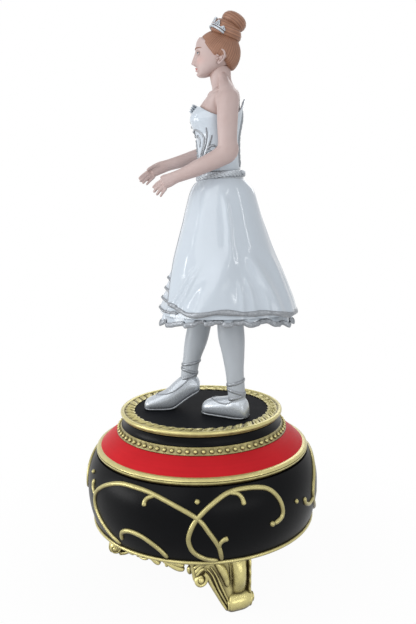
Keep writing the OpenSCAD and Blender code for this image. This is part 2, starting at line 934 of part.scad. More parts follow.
head_stations = [
    [196.6, figure_x, 5.6, 2.6, 2.2], [198, figure_x, 7.4, 4.8, 4.8], [201, figure_x, 10.6, 7.4, 8.6],
    [205, figure_x, 13, 8.9, 11.4], [209.8, figure_x, 14.2, 9.6, 12.8], [214.4, figure_x, 14.5, 9.9, 13],
    [218, figure_x, 14.7, 9.3, 12.2], [221, figure_x, 15, 7.2, 9.6], [222.8, figure_x, 15.2, 3.6, 4.8]
];

module head_and_shoulders() {
    gap = 0.3;
    color(skin)
        above_waist()
            difference() {
                union() {
                    loft(level_rings([
                        [bodice_floor_z, figure_x, 13.7, 16 - gap, 13.4 - gap],
                        [172, figure_x, 13.8, 16.4 - gap, 13.2],
                        [176, figure_x, 14, 16.2, 13], [180, figure_x, 15.2, 17, 11.6],
                        [184, figure_x, 17.2, 18.6, 9.8],
                        [187, figure_x, 18.6, 15, 8.2], [189.4, figure_x, 18.4, 9.4, 7.2],
                        [193, figure_x, 17.6, 6.6, 6.9], [196.4, figure_x, 17, 6.2, 6.9],
                        [202, figure_x, 16.4, 6.2, 7]
                    ], 24, 2));
                    loft(level_rings(head_stations, 24, 2));
                    translate([figure_x, 2.6, 212.6])
                        rotate([162, 0, 0])
                            cylinder(h = 6.6, r1 = 0.9, r2 = 1.9);
                    for (side = [-1, 1])
                        for (ear = [[16.4, 207.2, 2.6, 2.4], [16, 204.4, 1.9, 2]])
                            translate([figure_x + side * 8.2, ear[0], ear[1]])
                                rotate([0, side * 90, 0])
                                    cylinder(h = ear[3], r1 = ear[2], r2 = ear[2] - 0.4);
                }
                hair_half_space();
                for (side = [-1, 1])
                    translate([figure_x + side * (seat_x + 10), 20, 181])
                        cube([20, 40, 24], center = true);
            }
}

// Arms: stations [x, y, z, half width across X, half height], from the shoulder to the knuckles
left_arm_stations = [
    [26.6, 20.6, 186.4, 2, 2.4], [27.2, 20.6, 184.8, 4.2, 4.8], [28.2, 20.4, 180.4, 5.5, 6.2],
    [29.6, 20, 172, 5.4, 6],
    [30.2, 19.7, 163, 5, 5.6], [30.2, 19.7, 156, 4.9, 5.4], [30.1, 19.4, 150.6, 5.1, 6.2],
    [29.8, 14.6, 147, 4.9, 5.4],
    [29.4, 9, 144.4, 4.6, 4.9], [28.8, 2, 141.4, 4.2, 4.5], [27.8, -5, 138.6, 3.2, 3.7],
    [27, -10, 136.9, 2.6, 3.5],
    [26.4, -14, 135.2, 2.1, 3.9], [26, -17, 133.6, 1.8, 3.4]
];
right_arm_stations = [
    [-12.6, 20.2, 186.4, 2, 2.4], [-13.2, 20, 184.8, 4.2, 4.8], [-14.2, 19.4, 180.4, 5.5, 6.2],
    [-15.4, 17.2, 172, 5.3, 5.8],
    [-15.6, 14.4, 164, 4.9, 5.3], [-15.5, 11.6, 157.6, 4.9, 5.5], [-15, 6, 154, 4.7, 5],
    [-14.4, -2, 151.6, 4.3, 4.5],
    [-13.4, -10, 149.2, 3.6, 4], [-12.5, -18, 147, 2.8, 3.6], [-11.9, -23.6, 145.2, 2.3, 3.9],
    [-11.2, -28.6, 142.8, 1.9, 3.6]
];
left_fingers = [
    [[25.8, -16, 136.2], [25.2, -19.6, 133], [25, -21.8, 130.4]],
    [[26, -16.2, 134.6], [25.6, -19.4, 131.4], [25.6, -21.2, 128.8]],
    [[26.2, -15.8, 133], [26.2, -18.6, 130], [26.4, -19.8, 127.8]],
    [[26.4, -15.2, 131.6], [26.8, -17, 129], [27, -18.2, 127.2]],
    [[25.8, -12, 137.4], [24.4, -15.4, 137.6], [23.4, -18, 136.4]]
];
right_fingers = [
    [[-11.2, -27.6, 145], [-10.6, -33, 141.8], [-10.4, -36.8, 138.6]],
    [[-11.2, -27.8, 143.4], [-10.8, -32.8, 140], [-10.8, -36.2, 136.8]],
    [[-11.4, -27.4, 141.6], [-11.2, -31.8, 138.4], [-11.4, -34.6, 135.6]],
    [[-11.6, -26.6, 140.2], [-11.8, -30, 137.2], [-12, -32.4, 134.8]],
    [[-11, -22.6, 146.4], [-9.4, -27.4, 146], [-8.6, -31.4, 143.6]]
];

module arm(stations, fingers, seat_side) {
    finger_r = 1.05;
    above_waist()
        difference() {
            union() {
                loft(path_rings(stations, 14, 2));
                for (f = fingers)
                    loft(path_rings([
                        [each f[0], finger_r, finger_r], [each f[1], finger_r, finger_r],
                        [each f[2], finger_r * 0.6, finger_r * 0.6]
                    ], 6, 2));
            }
            translate([figure_x + seat_side * (seat_x - 10), 20, 181])
                cube([20, 40, 24], center = true);
        }
}

module left_arm() {
    color(skin)
        arm(left_arm_stations, left_fingers, 1);
}

module right_arm() {
    color(skin)
        arm(right_arm_stations, right_fingers, -1);
}

// Hair: a swept-back cap, split from the face by a slanting plane, and a bun in two tiers
bun_tilt = 33;
module bun_tier(y, z, r, half_h) {
    translate([figure_x, y, z])
        rotate([-bun_tilt, 0, 0])
            loft([
                for (a = [-80 : 20 : 80])
                    level_ring([half_h * sin(a), 0, 0, r * pow(cos(a), 0.6), r * pow(cos(a), 0.6)], 24)
            ]);
}

module hair() {
    volume = 0.9;
    color(auburn)
        above_waist()
            union() {
                intersection() {
                    loft(level_rings([
                        for (s = head_stations)
                            let (lift = s[0] > 216 ? volume : 0)
                                [s[0] + lift, s[1], s[2], s[3] + volume, s[4] + volume]
                    ], 24, 2));
                    hair_half_space();
                }
                bun_tier(19.6, 222.8, 9.6, 5.6);
                bun_tier(24.2, 228.6, 7.5, 4.6);
            }
}

// Tiara: a band round the front of the bun, rising to a peak
module tiara() {
    columns = 20;
    r = 10.6;
    t = 0.8;
    function peak(k) = 1 + 3 * pow(sin(180 * k / columns), 1.5) * (k % 2 == 0 ? 1 : 0.55);
    color(silver)
        above_waist()
            translate([figure_x, 19.6, 221.8])
                rotate([-bun_tilt, 0, 0])
                    loft([
                        for (k = [0 : columns])
                            let (a = -158 + 136 * k / columns)
                                [
                                    for (q = [[r, -2], [r + t, -2], [r + t, peak(k)], [r, peak(k)]])
                                        [q[0] * cos(a), q[0] * sin(a), q[1]]
                                ]
                    ]);
}

// The movement: its cylinder lies towards +Y, at right angles to the crown wheel

// Radius of the bowl that the movement is laid out for; its cylinder grows and shrinks with the bowl
layout_bowl_r = 67.5;
drum_l = cylinder_l + bowl_r - layout_bowl_r;
bed_z = floor_z;
bed_top = bed_z + bed_t;
bed_screw_r = 1;
barrel_top = bed_top + barrel_h;
cap_t = 1;
crown_tooth_h = 1.9;
crown_addendum = 0.9;
crown_tip_z = barrel_top + cap_t + 0.5;
crown_disc_z = crown_tip_z + crown_tooth_h;
crown_t = 1.8;
tooth_pitch = 2 * PI * crown_r / crown_teeth;
pinion_r = tooth_pitch * pinion_teeth / (2 * PI);
cylinder_z = crown_tip_z + crown_addendum - pinion_r;
face_w = 3;
cylinder_x = 22.5;
bracket_plate = 1.2;
inner_bracket_x = cylinder_x - 0.4 - bracket_plate;
outer_bracket_x = cylinder_x + drum_l + 4.5;
pivot_r = 1.2;
train_module = 0.6;
wheel_teeth = 20;
leaf_teeth = 10;
worm_teeth = 16;
wheel_x = cylinder_x + drum_l + 1.5;
wheel_w = 1.6;
governor_y = -train_module * (wheel_teeth + leaf_teeth) / 2;
governor_x = outer_bracket_x + bracket_plate + 0.6;
governor_gap = 2.8;
cage_plate = 1;
worm_x = governor_x + cage_plate + governor_gap / 2;
worm_pitch_r = 1.8;
worm_y = governor_y - train_module * worm_teeth / 2 - worm_pitch_r;
worm_lead = PI * train_module;
small_pivot_r = 0.9;
worm_pivot_r = 0.7;
worm_l = 8.8;
arm_z = cylinder_z + worm_l / 2 + 1.4;
spindle_r = 3;
crown_hub_r = 4.5;
crown_hub_top = crown_disc_z + crown_t + 1.4;

module in_movement() {
    rotate([0, 0, 90])
        children();
}

bed_screw_places = [[-12.5, -14], [-12.5, 14], [governor_x - 3.3, 12], [cylinder_x + 7.5, -14]];
module bedplate_screw_places() {
    in_movement()
        for (p = bed_screw_places)
            translate([p[0], p[1], 0])
                children();
}

module movement_bedplate() {
    color(brass)
        difference() {
            in_movement()
                translate([0, 0, bed_z])
                    linear_extrude(bed_t)
                        polygon([
                            [-16, -18], [governor_x - 4.8, -18], [governor_x - 0.8, -20],
                            [governor_x + 6, -20],
                            [governor_x + 6, 6], [governor_x + 1.2, 16], [governor_x - 4.8, 26],
                            [cylinder_x - 2.5, 26], [10, 18], [-16, 18]
                        ]);
            translate([0, 0, bed_z - 1])
                cylinder(h = bed_t + 2, r = arbor_r + run_fit);
            bedplate_screw_places()
                translate([0, 0, bed_z - 1])
                    cylinder(h = bed_t + 2, r = bed_screw_r);
        }
}

module bedplate_screws() {
    color(steel)
        bedplate_screw_places() {
            translate([0, 0, base_z + 0.8])
                cylinder(h = bed_top - base_z - 0.8, r = bed_screw_r);
            translate([0, 0, bed_top])
                cylinder(h = 1.2, r = bed_screw_r * 1.9);
        }
}

module spring_barrel() {
    color(brass)
        translate([0, 0, bed_top])
            difference() {
                cylinder(h = barrel_h, r = barrel_r);
                translate([0, 0, -1])
                    cylinder(h = barrel_h + 2, r = barrel_r - 1.2);
            }
}

module barrel_cap() {
    color(brass)
        translate([0, 0, barrel_top])
            difference() {
                cylinder(h = cap_t, r = barrel_r);
                translate([0, 0, -1])
                    cylinder(h = cap_t + 2, r = arbor_r + run_fit);
            }
}

// One flat strip, wound from the arbor out to the barrel's wall
module mainspring() {
    turns = 6;
    strip = 0.5;
    r0 = arbor_r + drop_fit;
    r1 = barrel_r - 1.2 - strip;
    function coil(k, off) = let (a = 360 * turns * k / 144, r = r0 + (r1 - r0) * k / 144 + off)
        [r * cos(a), r * sin(a)];
    color(steel)
        translate([0, 0, bed_top])
            linear_extrude(barrel_h - 0.4)
                polygon([
                    for (k = [0 : 144]) coil(k, 0),
                    for (k = [144 : -1 : 0]) coil(k, strip)
                ]);
}

// Flat gear outline with thin straight-sided teeth
module gear_outline(teeth, pitch_r, addendum, dedendum, turn) {
    root_r = pitch_r - dedendum;
    pitch = 360 / teeth;
    union() {
        circle(root_r);
        for (k = [0 : teeth - 1])
            rotate(turn + k * pitch)
                polygon([
                    [root_r - 0.3, -root_r * sin(pitch * 0.24)],
                    [pitch_r, -pitch_r * sin(pitch * 0.17)],
                    [pitch_r + addendum, -pitch_r * sin(pitch * 0.09)],
                    [pitch_r + addendum, pitch_r * sin(pitch * 0.09)],
                    [pitch_r, pitch_r * sin(pitch * 0.17)],
                    [root_r - 0.3, root_r * sin(pitch * 0.24)]
                ]);
    }
}

module crown_wheel() {
    color(brass)
        in_movement()
            difference() {
                union() {
                    translate([0, 0, crown_disc_z])
                        cylinder(h = crown_t, r = crown_r + face_w / 2);
                    translate([0, 0, barrel_top + cap_t + 0.3])
                        cylinder(h = crown_hub_top - barrel_top - cap_t - 0.3, r = crown_hub_r);
                    for (k = [0 : crown_teeth - 1])
                        rotate([0, 0, (k + 0.5) * 360 / crown_teeth])
                            translate([crown_r - face_w / 2, 0, crown_tip_z])
                                rotate([90, 0, 90])
                                    linear_extrude(face_w)
                                        polygon([
                                            [-tooth_pitch * 0.09, 0],
                                            [tooth_pitch * 0.09, 0],
                                            [tooth_pitch * 0.23, crown_tooth_h + 0.3],
                                            [-tooth_pitch * 0.23, crown_tooth_h + 0.3]
                                        ]);
                }
                translate([0, 0, barrel_top])
                    cylinder(h = crown_hub_top - barrel_top + 1, r = arbor_r);
            }
}

arbor_low_z = 16;
arbor_step_z = foot_h - 2.4;
arbor_tip_r = arbor_r - 0.7;
module winding_arbor() {
    color(steel) {
        translate([0, 0, arbor_step_z])
            cylinder(h = crown_hub_top + 1 - arbor_step_z, r = arbor_r);
        translate([0, 0, arbor_low_z])
            cylinder(h = arbor_step_z - arbor_low_z, r = arbor_tip_r);
    }
}

module winding_key() {
    wing_r = 6.2;
    wing_x = 7;
    wing_z = 10.2;
    wing_t = 2;
    stem_r = arbor_tip_r + 1.7;
    color(brass)
        difference() {
            union() {
                rotate([90, 0, 0])
                    linear_extrude(wing_t, center = true)
                        difference() {
                            union() {
                                for (side = [-1, 1])
                                    translate([side * wing_x, wing_z])
                                        circle(wing_r);
                                translate([-wing_x, wing_z - 3])
                                    square([2 * wing_x, 6]);
                            }
                            for (side = [-1, 1])
                                translate([side * wing_x * 1.1, wing_z])
                                    circle(wing_r / 2.2);
                        }
                translate([0, 0, wing_z - 2])
                    cylinder(h = arbor_step_z - wing_z + 2, r = stem_r);
            }
            translate([0, 0, arbor_low_z])
                cylinder(h = arbor_step_z, r = arbor_tip_r);
        }
}

module drive_spindle() {
    sleeve_r = arbor_r + 1.4;
    sleeve_top = crown_hub_top + 1;
    tang_top = socket_z + socket_h - 1.4;
    color(steel)
        difference() {
            union() {
                translate([0, 0, crown_hub_top])
                    cylinder(h = 2.4, r = sleeve_r);
                translate([0, 0, sleeve_top])
                    cylinder(h = socket_z - drop_fit - sleeve_top, r = spindle_r);
                translate([-tang_w / 2, -tang_t / 2, sleeve_top])
                    cube([tang_w, tang_t, tang_top - sleeve_top]);
            }
            translate([0, 0, crown_hub_top - 1])
                cylinder(h = 2, r = arbor_r);
        }
}

module along_cylinder(x) {
    in_movement()
        translate([x, 0, cylinder_z])
            rotate([0, 90, 0])
                children();
}

note_row = drum_l / comb_teeth;
module music_cylinder() {
    color(brass)
        along_cylinder(cylinder_x)
            difference() {
                union() {
                    cylinder(h = drum_l, r = cylinder_r);
                    for (k = [0 : comb_teeth - 1], turn = [0, 1])
                        rotate([0, 0, (k * 67 + turn * 151) % 360])
                            translate([cylinder_r - 0.5, 0, (k + 0.5) * note_row])
                                rotate([0, 90, 0])
                                    cylinder(h = note_pin_h + 0.5, r = 0.28);
                }
                translate([0, 0, -1])
                    cylinder(h = drum_l + 2, r = pivot_r);
            }
}

shaft_from_x = crown_r - face_w / 2 - 0.4;
module cylinder_shaft() {
    color(steel)
        along_cylinder(shaft_from_x)
            cylinder(h = outer_bracket_x + bracket_plate + 0.4 - shaft_from_x, r = pivot_r);
}

module cylinder_pinion() {
    color(brass)
        along_cylinder(crown_r - face_w / 2 + 0.1)
            difference() {
                linear_extrude(face_w - 0.2)
                    gear_outline(pinion_teeth, pinion_r, 0.85, 1.1, 180);
                translate([0, 0, -1])
                    cylinder(h = face_w + 2, r = pivot_r);
            }
}

module cylinder_wheel() {
    color(brass)
        along_cylinder(wheel_x)
            difference() {
                linear_extrude(wheel_w)
                    gear_outline(wheel_teeth, train_module * wheel_teeth / 2, 0.5, 0.66, 270);
                translate([0, 0, -1])
                    cylinder(h = wheel_w + 2, r = pivot_r);
            }
}

module cylinder_brackets() {
    half_w = 5;
    color(brass)
        in_movement()
            for (x = [inner_bracket_x, outer_bracket_x])
                translate([x, 0, 0])
                    rotate([90, 0, 90])
                        difference() {
                            linear_extrude(bracket_plate)
                                union() {
                                    translate([-half_w, bed_top])
                                        square([2 * half_w, cylinder_z - bed_top - 1]);
                                    translate([0, cylinder_z])
                                        circle(3);
                                    translate([-3, cylinder_z - 4])
                                        square([6, 4]);
                                }
                            translate([0, cylinder_z, -1])
                                cylinder(h = bracket_plate + 2, r = pivot_r + run_fit);
                        }
}

comb_tip_y = cylinder_r + note_pin_h + drop_fit;
comb_root_y = 15.4;
comb_back_y = 24;
comb_t = 1.2;
comb_z = cylinder_z - comb_t / 2;
comb_screw_x = [0.25, 0.75];
module comb_base() {
    color(brass)
        in_movement()
            difference() {
                translate([cylinder_x, comb_root_y + 0.6, bed_top])
                    cube([drum_l, comb_back_y - comb_root_y - 0.6, comb_z - bed_top]);
                comb_screw_holes();
            }
}

module comb_screw_holes() {
    for (share = comb_screw_x)
        translate([cylinder_x + share * drum_l, (comb_root_y + comb_back_y) / 2 + 0.6, comb_z - 5])
            cylinder(h = comb_t + 6, r = 1);
}

module music_comb() {
    slot_w = 0.35;
    color(steel)
        in_movement()
            difference() {
                translate([cylinder_x, comb_tip_y, comb_z])
                    cube([drum_l, comb_back_y - comb_tip_y, comb_t]);
                for (k = [1 : comb_teeth - 1])
                    translate([cylinder_x + k * note_row - slot_w / 2, comb_tip_y - 1, comb_z - 1])
                        cube([slot_w, comb_root_y - comb_tip_y + 1 - 2.4 * k / comb_teeth, comb_t + 2]);
                comb_screw_holes();
            }
}

module comb_screws() {
    color(steel)
        in_movement()
            for (share = comb_screw_x)
                translate([cylinder_x + share * drum_l, (comb_root_y + comb_back_y) / 2 + 0.6, 0]) {
                    translate([0, 0, comb_z - 4.6])
                        cylinder(h = comb_t + 4.6, r = 1);
                    translate([0, 0, comb_z + comb_t])
                        cylinder(h = 1.2, r = 1.9);
                }
}

// The governor: a leaf pinion, a worm wheel and an upright worm with a fly

module along_governor(x) {
    in_movement()
        translate([x, governor_y, cylinder_z])
            rotate([0, 90, 0])
                children();
}

governor_end_x = governor_x + 2 * cage_plate + governor_gap;
module governor_shaft() {
    color(steel)
        along_governor(wheel_x - 0.6)
            cylinder(h = governor_end_x - wheel_x + 0.9, r = small_pivot_r);
}

module governor_pinion() {
    width = wheel_w + 0.4;
    color(brass)
        along_governor(wheel_x - 0.2)
            difference() {
                linear_extrude(width)
                    gear_outline(leaf_teeth, train_module * leaf_teeth / 2, 0.5, 0.66, 90 + 180 / leaf_teeth);
                translate([0, 0, -1])
                    cylinder(h = width + 2, r = small_pivot_r);
            }
}

worm_wheel_w = 1.2;
module worm_wheel() {
    color(brass)
        along_governor(worm_x - worm_wheel_w / 2)
            difference() {
                linear_extrude(worm_wheel_w)
                    gear_outline(worm_teeth, train_module * worm_teeth / 2, 0.45, 0.6, 270);
                translate([0, 0, -1])
                    cylinder(h = worm_wheel_w + 2, r = small_pivot_r);
            }
}

// A worm whose radius follows the thread as it climbs
module worm() {
    n = 14;
    rings = 24;
    core_r = 1.25;
    crest = 0.95;
    low = cylinder_z - worm_l / 2;
    turn_z = cylinder_z + worm_lead / 2 - worm_lead / 4;
    function thread(a, z) = let (w = cos(360 * ((z - turn_z) / worm_lead - a / 360)))
        core_r + crest * max(0, min(1, (w - 0.3) / 0.45));
    shaft_low = bed_top + 0.2;
    color(steel)
        in_movement()
            translate([worm_x, worm_y, 0]) {
                loft([
                    for (i = [0 : rings])
                        let (z = low + worm_l * i / rings)
                            [
                                for (j = [0 : n - 1])
                                    let (a = 360 * j / n, r = thread(a, z))
                                        [r * cos(a), r * sin(a), z]
                            ]
                ]);
                translate([0, 0, shaft_low])
                    cylinder(h = low - shaft_low, r = worm_pivot_r);
                translate([0, 0, low + worm_l])
                    cylinder(h = arm_z + cage_plate + 3 - low - worm_l, r = worm_pivot_r);
            }
}

module fly() {
    wing_r = 4.4;
    wing_h = 2.4;
    wing_t = 0.5;
    z = arm_z + cage_plate + 0.4;
    color(brass)
        in_movement()
            translate([worm_x, worm_y, z])
                difference() {
                    union() {
                        cylinder(h = wing_h, r = 1.5);
                        translate([-wing_r, -wing_t / 2, 0])
                            cube([2 * wing_r, wing_t, wing_h]);
                    }
                    translate([0, 0, -1])
                        cylinder(h = wing_h + 2, r = worm_pivot_r);
                }
}

// Two upright plates carry the governor shaft, a foot and an arm carry the worm
module governor_cage() {
    plate_h = cylinder_z - bed_top + 2.4;
    plate_w = 4;
    post_y = worm_y - 3.4;
    color(brass)
        in_movement()
            difference() {
                union() {
                    for (x = [governor_x, governor_x + cage_plate + governor_gap])
                        translate([x, governor_y - plate_w / 2, bed_top])
                            cube([cage_plate, plate_w, plate_h]);
                    translate([governor_x, post_y - 1, bed_top])
                        cube([2 * cage_plate + governor_gap, governor_y + plate_w / 2 - post_y + 1, 1.2]);
                    translate([worm_x - 1.5, post_y - 1, bed_top])
                        cube([3, 1.2, arm_z + cage_plate - bed_top]);
                    translate([worm_x - 1.5, post_y - 1, arm_z])
                        cube([3, worm_y - post_y + 2.5, cage_plate]);
                }
                translate([governor_x - 1, governor_y, cylinder_z])
                    rotate([0, 90, 0])
                        cylinder(h = 10, r = small_pivot_r + run_fit);
                translate([worm_x, worm_y, bed_top - 1])
                    cylinder(h = 30, r = worm_pivot_r + run_fit);
            }
}

bowl();
bowl_moulding();
bowl_scrollwork();
base_ring();
foot(foot_angles[0]);  // foot_front
foot(foot_angles[1]);  // foot_left
foot(foot_angles[2]);  // foot_right
apron_bands();
foot_screws();
jewel_tray();
movement_bedplate();
bedplate_screws();
spring_barrel();
barrel_cap();
mainspring();
cylinder_brackets();
comb_base();
music_comb();
comb_screws();
governor_cage();
lid_shell();
lid_moulding();
bead_ring();
lid_neck();
lid_liner();
turntable_bush();
turntable_disc();
turntable_rim();
turntable_shaft();
retaining_clip();
dog_socket();
figure_pins();
left_shoe();
right_shoe();
left_leg();
right_leg();
petticoat();
skirt();
sash();
bodice();
head_and_shoulders();
left_arm();
right_arm();
hair();
tiara();
winding_key();
winding_arbor();
crown_wheel();
drive_spindle();
music_cylinder();
cylinder_shaft();
cylinder_pinion();
cylinder_wheel();
governor_shaft();
governor_pinion();
worm_wheel();
worm();
fly();
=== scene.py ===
"""Looks of a footed jewellery box: gilt stand, lacquered bowl and lid, and a dancer on a turning platform."""

import math

import bpy
import numpy as np
from bpy.props import FloatProperty, FloatVectorProperty, IntProperty, PointerProperty
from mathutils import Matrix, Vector


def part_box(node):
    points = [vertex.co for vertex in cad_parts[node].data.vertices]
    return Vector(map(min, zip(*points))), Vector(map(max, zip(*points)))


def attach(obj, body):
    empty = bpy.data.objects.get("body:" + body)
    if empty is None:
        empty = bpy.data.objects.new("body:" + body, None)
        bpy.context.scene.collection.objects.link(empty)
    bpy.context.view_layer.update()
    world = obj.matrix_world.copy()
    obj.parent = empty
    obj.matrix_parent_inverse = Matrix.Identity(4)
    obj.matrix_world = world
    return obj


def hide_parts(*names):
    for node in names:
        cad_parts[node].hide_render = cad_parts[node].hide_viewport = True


bl_info = {
    "name": "Ballerina jewellery box",
    "version": (1, 0, 0),
    "blender": (4, 5, 0),
    "location": "3D View > Sidebar > Jewellery Box",
    "description": "Builds the finished surfaces of a musical jewellery box around its solid model",
    "category": "Add Mesh",
}

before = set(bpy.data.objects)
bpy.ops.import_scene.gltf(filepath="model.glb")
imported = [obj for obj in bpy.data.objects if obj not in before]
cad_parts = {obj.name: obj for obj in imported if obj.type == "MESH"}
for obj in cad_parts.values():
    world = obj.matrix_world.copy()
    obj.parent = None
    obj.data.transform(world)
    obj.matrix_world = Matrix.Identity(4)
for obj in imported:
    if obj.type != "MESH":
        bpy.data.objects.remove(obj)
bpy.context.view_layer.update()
MM = 0.001


def low(node):
    """Lowest corner of a solid, in millimetres."""
    return np.array(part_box(node)[0]) / MM


def high(node):
    """Highest corner of a solid, in millimetres."""
    return np.array(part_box(node)[1]) / MM


# Heights and radii taken from the solids
BASE_Z = low("bowl")[2]
SEAM_Z = high("bowl")[2]
BOWL_R = high("bowl")[0]
FOOT_H = high("foot_left")[2]
RING_R = high("base_ring")[0]
SHOULDER_Z = high("lid_shell")[2]
BAND_Z = high("bead_ring")[2]
NECK_Z = high("lid_neck")[2]
PLATFORM_Z = low("turntable_disc")[2]
STAGE_Z = high("turntable_disc")[2]
DISC_R = high("turntable_disc")[0]
RIM_R = high("turntable_rim")[0]
RIM_TOP = high("turntable_rim")[2]
SHOULDER_R = high("bead_ring")[0]
LIP_Z = low("bowl_moulding")[2]
LIP_R = high("bowl_moulding")[0]
LID_LIP_Z = high("lid_moulding")[2]
BELLY_H = 19.2
BELLY_Z = BASE_Z + BELLY_H
BASE_R = RING_R - 0.9
MOUTH_R = 60.6
REBATE_R = MOUTH_R - 1
NECK_R = SHOULDER_R - 2.8
FIGURE_X = 7.0


# Sizes and colours that a user would change


class JewelBoxSizes(bpy.types.PropertyGroup):
    """Sizes of the ornament, in millimetres"""

    bead_count: IntProperty(
        name="Beads", description="Beads round the lid", default=72, min=24, max=120
    )
    bead_radius: FloatProperty(
        name="Bead radius", description="Radius of one bead, mm", default=1.15, min=0.5
    )
    leaf_count: IntProperty(
        name="Rim leaves", description="Leaves round the platform rim", default=46, min=12
    )
    leaf_height: FloatProperty(
        name="Leaf height", description="Relief of the rim leaves, mm", default=0.9, min=0
    )
    stem_width: FloatProperty(
        name="Stem width", description="Width of the scroll stems, mm", default=2.5, min=0.5
    )
    stem_height: FloatProperty(
        name="Stem height", description="Relief of the scroll stems, mm", default=1.15, min=0.2
    )
    skirt_folds: FloatProperty(
        name="Skirt folds", description="Depth of the folds at the hem", default=0.018, min=0
    )
    strand_depth: FloatProperty(
        name="Hair strands", description="Depth of the combed strands, mm", default=0.16, min=0
    )


def tint(label, rgb):
    """A colour setting."""
    return FloatVectorProperty(
        name=label, description=label + " colour", subtype="COLOR", size=3, default=rgb, min=0, max=1
    )


class JewelBoxColours(bpy.types.PropertyGroup):
    """Colours of the finishes"""

    gold: tint("Gold", (0.555, 0.495, 0.215))
    # Dark brown of the patina in the hollows, also painted as shade in the hollows and on the undersides of
    # the gold.
    gold_deep: tint("Gold in hollows", (0.075, 0.052, 0.018))
    black: tint("Black lacquer", (0.0026, 0.0028, 0.0034))
    red: tint("Red lacquer", (0.58, 0.019, 0.026))
    enamel: tint("Dress enamel", (0.52, 0.58, 0.645))
    silver: tint("Silver paint", (0.23, 0.245, 0.265))
    slipper: tint("Slipper", (0.38, 0.41, 0.445))
    stocking: tint("Stocking", (0.375, 0.405, 0.44))
    skin: tint("Skin", (0.46, 0.36, 0.345))
    # Warm dark flesh, painted as shade in the hollows of the skin.
    skin_painted_shade: tint("Skin in hollows", (0.30, 0.15, 0.10))
    lips: tint("Lips", (0.46, 0.075, 0.055))
    hair: tint("Hair", (0.30, 0.148, 0.09))
    hair_deep: tint("Hair in partings", (0.085, 0.034, 0.018))
    brass: tint("Brass", (0.60, 0.42, 0.16))
    steel: tint("Steel", (0.45, 0.46, 0.48))
    flock: tint("Flock", (0.30, 0.012, 0.025))


# Shader expressions


class Value:
    """A socket that can be used in arithmetic: each operation adds a Math node."""

    def __init__(self, tree, socket):
        self.tree, self.socket = tree, socket

    def node(self, kind, inputs=None, out=0, **settings):
        """A new node with its settings, then the values or links of its sockets. Gives one of its outputs."""
        made = self.tree.nodes.new("ShaderNode" + kind)
        for name, value in settings.items():
            setattr(made, name, value)
        for key, value in (inputs or {}).items():
            if isinstance(value, Value):
                self.tree.links.new(value.socket, made.inputs[key])
            else:
                made.inputs[key].default_value = value
        return Value(self.tree, made.outputs[out])

    def maths(self, operation, a, b=0.0):
        return self.node("Math", {0: a, 1: b}, operation=operation)

    def __add__(self, other):
        return self.maths("ADD", self, other)

    __radd__ = __add__

    def __sub__(self, other):
        return self.maths("SUBTRACT", self, other)

    def __rsub__(self, other):
        return self.maths("SUBTRACT", other, self)

    def __mul__(self, other):
        return self.maths("MULTIPLY", self, other)

    __rmul__ = __mul__

    def clamp(self, start, end):
        """0 at start, 1 at end, and straight between them."""
        return self.node("MapRange", {"Value": self, "From Min": start, "From Max": end}, clamp=True)

    def mix(self, a, b):
        """Colour a where this is 0 and b where it is 1."""
        return self.node("Mix", {0: self, 6: a, 7: b}, out=2, data_type="RGBA")


class Finish:
    """A material with one Principled shader, and the textures that finishes share."""

    def __init__(self, name):
        self.material = bpy.data.materials.new(name)
        self.material.use_nodes = True
        self.tree = self.material.node_tree
        self.shader = self.tree.nodes["Principled BSDF"]
        self.base = Value(self.tree, None)
        self.place = self.base.node("TexCoord", out=3)

    def noise(self, scale, detail=2.0, rough=0.5, place=None):
        inputs = {"Vector": place or self.place, "Scale": scale, "Detail": detail, "Roughness": rough}
        return self.base.node("TexNoise", inputs)

    def stretched(self, x, y, z):
        return self.base.node("Mapping", {"Vector": self.place, "Scale": (x, y, z)})

    def sparkle(self, scale):
        """Random value per flake."""
        return self.base.node("TexVoronoi", {"Vector": self.place, "Scale": scale}, out=1)

    def hollows(self, distance):
        """1 on open faces, falling to 0 in deep corners."""
        return self.base.node("AmbientOcclusion", {"Distance": distance}, out=1, samples=8)

    def facing_up(self):
        """1 where a face looks up, -1 where it looks down."""
        return self.base.node("SeparateXYZ", {0: self.base.node("NewGeometry", out=1)}, out=2)

    def attribute(self, name):
        """A value marked on the piece's points."""
        return self.base.node("Attribute", attribute_name=name, out=2)

    def bump(self, height, distance, strength=1.0):
        """Fine relief, with its distance in metres."""
        made = self.base.node("Bump", {"Height": height, "Distance": distance, "Strength": strength})
        self.tree.links.new(made.socket, self.shader.inputs["Normal"])

    def set(self, **sockets):
        """Sets or links the shader's sockets, and gives the material."""
        for name, value in sockets.items():
            socket = self.shader.inputs[name.replace("_", " ")]
            if isinstance(value, Value):
                self.tree.links.new(value.socket, socket)
            else:
                socket.default_value = value
        return self.material


FINISHES = {}


def rgba(colour, gain=1.0):
    """A colour made lighter or darker, with full alpha."""
    return (*(min(1.0, c * gain) for c in colour), 1.0)


def finish(name):
    """The finish of that name, made on first use."""
    if name not in FINISHES:
        colours = bpy.context.scene.jewel_box_colours
        FINISHES[name] = FINISH_MAKERS[name](Finish(name), colours)
    return FINISHES[name]


